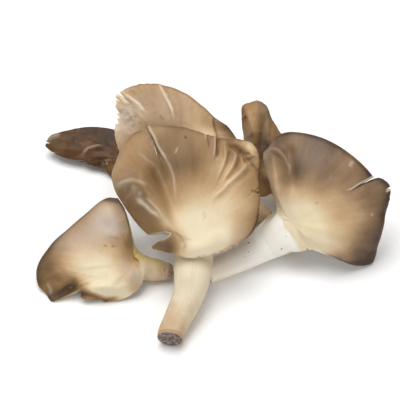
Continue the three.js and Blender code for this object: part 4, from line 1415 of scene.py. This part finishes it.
left_looks = {
    **TAN_LOOKS,
    "neck": (0.70, 0.56, 0.38),
    "foot": (0.62, 0.46, 0.31),
    "stain": (0.52, 0.40, 0.13),
    "warm": (0.85, 0.74, 0.32),
    "cut_dark": (0.34, 0.23, 0.16),
    "cut_light": (0.58, 0.44, 0.32),
}
left_body = make_piece(left)
left_body.data.materials.append(mushroom_flesh("pale mushroom flesh", TAN_SKIN, left_looks))

# ---- Back mushroom ----
#
# A pale mushroom behind the centre one, cap and stem of one growth. Its thin cap is creased like
# cloth, with a torn and bleached edge on the left.

back = dict(
    name="back_mushroom_body",
    node="back_mushroom",
    gills=200,
    navel=(-8.8, 108, 46),
    faces=(-0.05, -0.5, 0.86),
    spreads=(-0.42, 0.78, 0.43),
    stem=[
        (38.5, 92, 6.4, 7),
        (31, 95.5, 10, 7.6),
        (22, 99, 15, 8.2),
        (10.5, 103, 22, 8.6),
        (-0.5, 107, 29.5, 9),
    ],
    foot_edge=0.9,
    wrinkles=0,
    spokes=[
        (-145, 12, -1, 0, 0),
        (-100, 20, -5, 2, 0),
        (-70, 34, -7, 3, 0),
        (-46, 44, -4, 3, 5),
        (-32, 48.5, -2, 3, 10),
        (-22, 55.5, -1, 4, 10),
        (-10, 53, 0, 4, 10),
        (8, 45.5, 0, 4, 15),
        (24, 38.5, 0, 3, 15),
        (44, 32, -2, 3, 15),
        (60, 30.5, -5, 4, 20),
        (78, 33, -8, 5, 20),
        (98, 33, -8, 4, 15),
        (120, 21, -3, 2, 5),
        (145, 13, -0.5, 0, 0),
        (178, 10, 0, 0, 0),
    ],
    slips=[],
    cuts=[[(-21, 1), (-20.2, 0.9), (-19.4, 1)], [(-24.5, 1), (-24, 0.93), (-23.5, 1)]],
    bare_tears=1,
    ragged=[(-33, 18, 2.2), (-60, 20, 1.0), (-12, 12, 0.6)],
    folds=[
        (-36, 4, -0.6, 0.3, 0.8),
        (-24, 4, 0.9, 0.3, 0.8),
        (-10, 5, -0.5, 0.3, 0.8),
        (24, 5, -0.5, 0.3, 0.8),
    ],
    rolls=[
        ([(52, 5.5), (44, 5), (35, 4.9), (27, 4.7), (20, 3.4)], 1.8, 1.3),
        ([(16, 30), (12, 25), (6, 22), (-2, 22)], 3.0, 1.4),
    ],
    creases=[
        ([(50, 5.2), (44, 5), (35, 4.9), (27, 4.8), (19, 3.2)], 0.9, 0.3, 0.5),
        ([(52, -17), (46, -14.6), (39, -11.7), (30, -9)], 0.9, 0.4, 0.6),
        ([(54, -21.5), (46, -18), (42, -16)], 0.8, 0.4, 0.6),
        ([(52, -19.5), (46, -16.6), (41, -14.5)], 0.5, -0.6, -0.3),
        ([(27.5, -3.2), (25, -3.3), (23, -2)], 0.4, -0.2, -0.3),
        ([(17, 29), (13, 24.6), (7, 22.7), (0, 21.4), (-5, 21)], 0.8, -0.5, -0.34),
    ],
    crumples=[(44, -20, 14, 0.8, 4), (30, 0, 25, 0.4, 7)],
    heart=(-5, 10, 14, 14),
    browns=(0.46, 0.44),
    washes=[
        (34, -26, 12, 5, 40, -0.26),
        (38, -6, 14, 8, 0, 0.08),
        (30, -17, 8, 6, 0, -0.1),
        # painted shade past the right fold, where the cap turns away
        (8, 28, 12, 4.5, 100, 0.14),
        (22, 16, 10, 8, 0, -0.08),
        (38, -2, 10, 8, 0, 0.06),
        # painted shade past the right fold
        (5, 31, 7, 5, 0, 0.34),
        (-2, 32, 5, 5, 0, 0.2),
    ],
    rims=[(-30, 14, 2.5, -0.35), (40, 60, 1.0, 0.3), (-5, 12, 1.0, 0.2)],
    tints=[(36, -22, 14, 9, 40, -0.5), (26, 2, 24, 22, 0, -0.3)],
    shines=[],
    melts=[],
    stains=[],
    seed=41,
)
back_looks = {**TAN_LOOKS, "streaks": 0.34}
back_body = make_piece(back)
back_body.data.materials.append(mushroom_flesh("creased mushroom flesh", TAN_SKIN, back_looks))

# ---- Far left mushroom ----
#
# A thin cap of dried flesh behind the others, dark brown all over, with a torn lower edge. It lies
# flat on the table, on a short stem of its own.

far_left = dict(
    name="far_left_mushroom_body",
    node="far_left_mushroom",
    gills=132,
    navel=(-46, 138, 10.2),
    faces=(-0.12, -0.42, 0.9),
    spreads=(-1, 0.05, -0.1),
    stem=[
        (-24, 130, 4.8, 4.6),
        (-30, 133.3, 4.8, 4.6),
        (-37, 137, 4.8, 4.8),
    ],
    foot_edge=0.9,
    wrinkles=0,
    spokes=[
        (-150, 8, -1, 0, 0),
        (-90, 10, -2, 0, 0),
        (-50, 12, -2, 0, 0),
        (-20, 13, -2, 0, 0),
        (-7, 19.5, -1.5, 0, 0),
        (-3, 24, -1, 1, 0),
        (1, 26, -1, 1, 0),
        (4, 35, -1, 1, 0),
        (8, 44.5, -1, 2, 0),
        (14, 52.3, 0, 2, 5),
        (18, 51.8, 0, 2, 5),
        (28, 43.6, 0, 2, 5),
        (38, 36.1, 0, 1, 5),
        (54, 27, 0, 1, 5),
        (70, 21, 0, 0, 0),
        (105, 13, 0, 0, 0),
        (150, 9, -1, 0, 0),
    ],
    slips=[],
    cuts=[
        [(1.2, 1), (2.0, 0.86), (2.6, 0.76), (3.1, 1)],
        [(8.4, 1), (8.8, 0.95), (9.4, 1)],
        [(14.6, 1), (15.4, 0.93), (16.2, 1)],
    ],
    bare_tears=0.2,
    ragged=[(2, 10, 2.0), (15, 8, 0.6)],
    folds=[
        (22, 4, 0.5, 0.3, 0.8),
        (34, 5, -0.5, 0.3, 0.8),
    ],
    rolls=[([(29, 1), (25.5, 4), (22.5, 7.3), (17, 9), (12, 9.5)], 1.8, 1.2)],
    creases=[
        ([(28, 1.5), (25.5, 4), (22.5, 7.3), (17, 9), (12, 9.5)], 0.8, 0.4, 0.22),
        ([(51, 14.5), (46, 17), (40, 19)], 1.6, 0.3, 0.25),
        ([(14.5, -2.5), (12, -0.5), (9.5, -3)], 0.7, 0.4, 0.2),
        ([(13, 0.5), (11, -4)], 0.6, -0.4, -0.1),
    ],
    crumples=[(12, -1.5, 6, 1.0, 3), (32, 9, 22, 0.5, 7)],
    heart=(-6, 0, 6, 6),
    browns=(0.84, 0.87),
    washes=[
        (24, 17, 16, 4, 0, 0.10),
        (12, 15, 8, 6, 0, 0.2),
        (49, 15, 4, 4, 0, -0.06),
        (26, 2, 8, 2, 0, -0.12),
        (9, -2, 5, 4, 0, -0.2),
        (40, 8, 8, 3, 0, -0.06),
    ],
    rims=[(40, 40, 1.4, 0.14)],
    tints=[],
    shines=[(28, 11, 16, 6, 0, 0.05)],
    melts=[(-170, 85)],
    stains=[(0.1, 0, 0.4, 400, 0.5)],
    seed=53,
)
DRIED_SKIN = [
    (0.0, (0.60, 0.42, 0.25)),
    (0.5, (0.36, 0.21, 0.105)),
    (0.7, (0.215, 0.115, 0.048)),
    (0.86, (0.105, 0.05, 0.019)),
    (1.0, (0.06, 0.029, 0.013)),
]
dark_looks = {
    **TAN_LOOKS,
    "neck": (0.30, 0.19, 0.12),
    "foot": (0.26, 0.17, 0.11),
    "gill_valley": (0.12, 0.08, 0.055),
    "gill_edge": (0.26, 0.17, 0.12),
}
far_left_body = make_piece(far_left)
far_left_body.data.materials.append(mushroom_flesh("dark mushroom flesh", DRIED_SKIN, dark_looks))

# ---- Back right mushroom ----
#
# A small mushroom that stands between the centre and the right one, grown with its cap furled like
# a scroll and bruised brown, with painted shade on its heart and stem where it sits deep between them.

back_right = dict(
    name="back_right_mushroom_body",
    node="back_right_mushroom",
    gills=120,
    navel=(42, 117.7, 26.7),
    faces=(-0.1, -0.6, 0.8),
    spreads=(-0.3, 0.75, 0.55),
    stem=[
        (61, 103, 5.4, 5.8),
        (54, 108, 8.5, 5.8),
        (47, 113.5, 12.5, 6),
    ],
    foot_edge=0.9,
    wrinkles=0,
    spokes=[
        (-142, 18.5, -3, 1, 0),
        (-105, 14, -4, 1, 0),
        (-50, 17, -6, 3, 10),
        (-24, 26, -6, 4, 20),
        (-14, 34, -4, 4, 20),
        (-6, 41.5, -1.5, 4, 15),
        (5, 41, -1.2, 3, 12),
        (13, 38, -3, 2, 15),
        (19, 29, -4, 2, 10),
        (34, 21, -5, 2, 5),
        (62, 17, -5, 1, 0),
        (110, 12, -2, 1, 0),
        (165, 10, -0.5, 0, 0),
    ],
    slips=[],
    cuts=[],
    bare_tears=0,
    ragged=[(0, 60, 0.3)],
    folds=[
        (-12, 9, 1.2, 0.2, 0.7),
        (13, 8, -2, 0.2, 0.7),
        (2, 3, -0.9, 0.75, 1),
    ],
    rolls=[
        ([(34, 7), (27.5, 4.6), (21.8, 1.7), (16.4, -0.6), (8, -3)], 2.6, -2.4),
        ([(40, -3), (33, -2.3), (26, -3), (18, -5)], 3.0, 1.4),
    ],
    creases=[
        ([(33.6, -5.8), (32.2, -5.9)], 0.9, -0.2, -0.5),
        ([(30.9, -6.4), (29.9, -6.2)], 1.0, 0.1, -0.1),
    ],
    crumples=[(28, 0, 16, 0.5, 6)],
    heart=(0, 0, 6, 6),
    browns=(0.62, 0.66),
    washes=[
        # painted shade along the valley of the furl
        (20, 1, 14, 2.6, 14, 0.22),
        (30, -1, 10, 3, 5, -0.16),
        (30, 8, 10, 3, 10, 0.2),
        (36, -7, 7, 3, 10, 0.16),
        # painted shade towards the navel, where the mushroom sits deep between the centre and right caps
        (2, 0, 14, 12, 0, 0.6),
    ],
    rims=[(0, 30, 1.2, 0.1)],
    tints=[(30, -6.6, 8, 2.4, 8, 1.4), (34, 6, 8, 4, 0, -0.25)],
    shines=[],
    melts=[],
    # painted shade on the stem, deep between the centre and right caps
    stains=[(0.3, 0, 0.6, 400, 0.75)],
    seed=67,
)
back_right_body = make_piece(back_right)
back_right_body.data.materials.append(mushroom_flesh("furled mushroom flesh", TAN_SKIN, TAN_LOOKS))
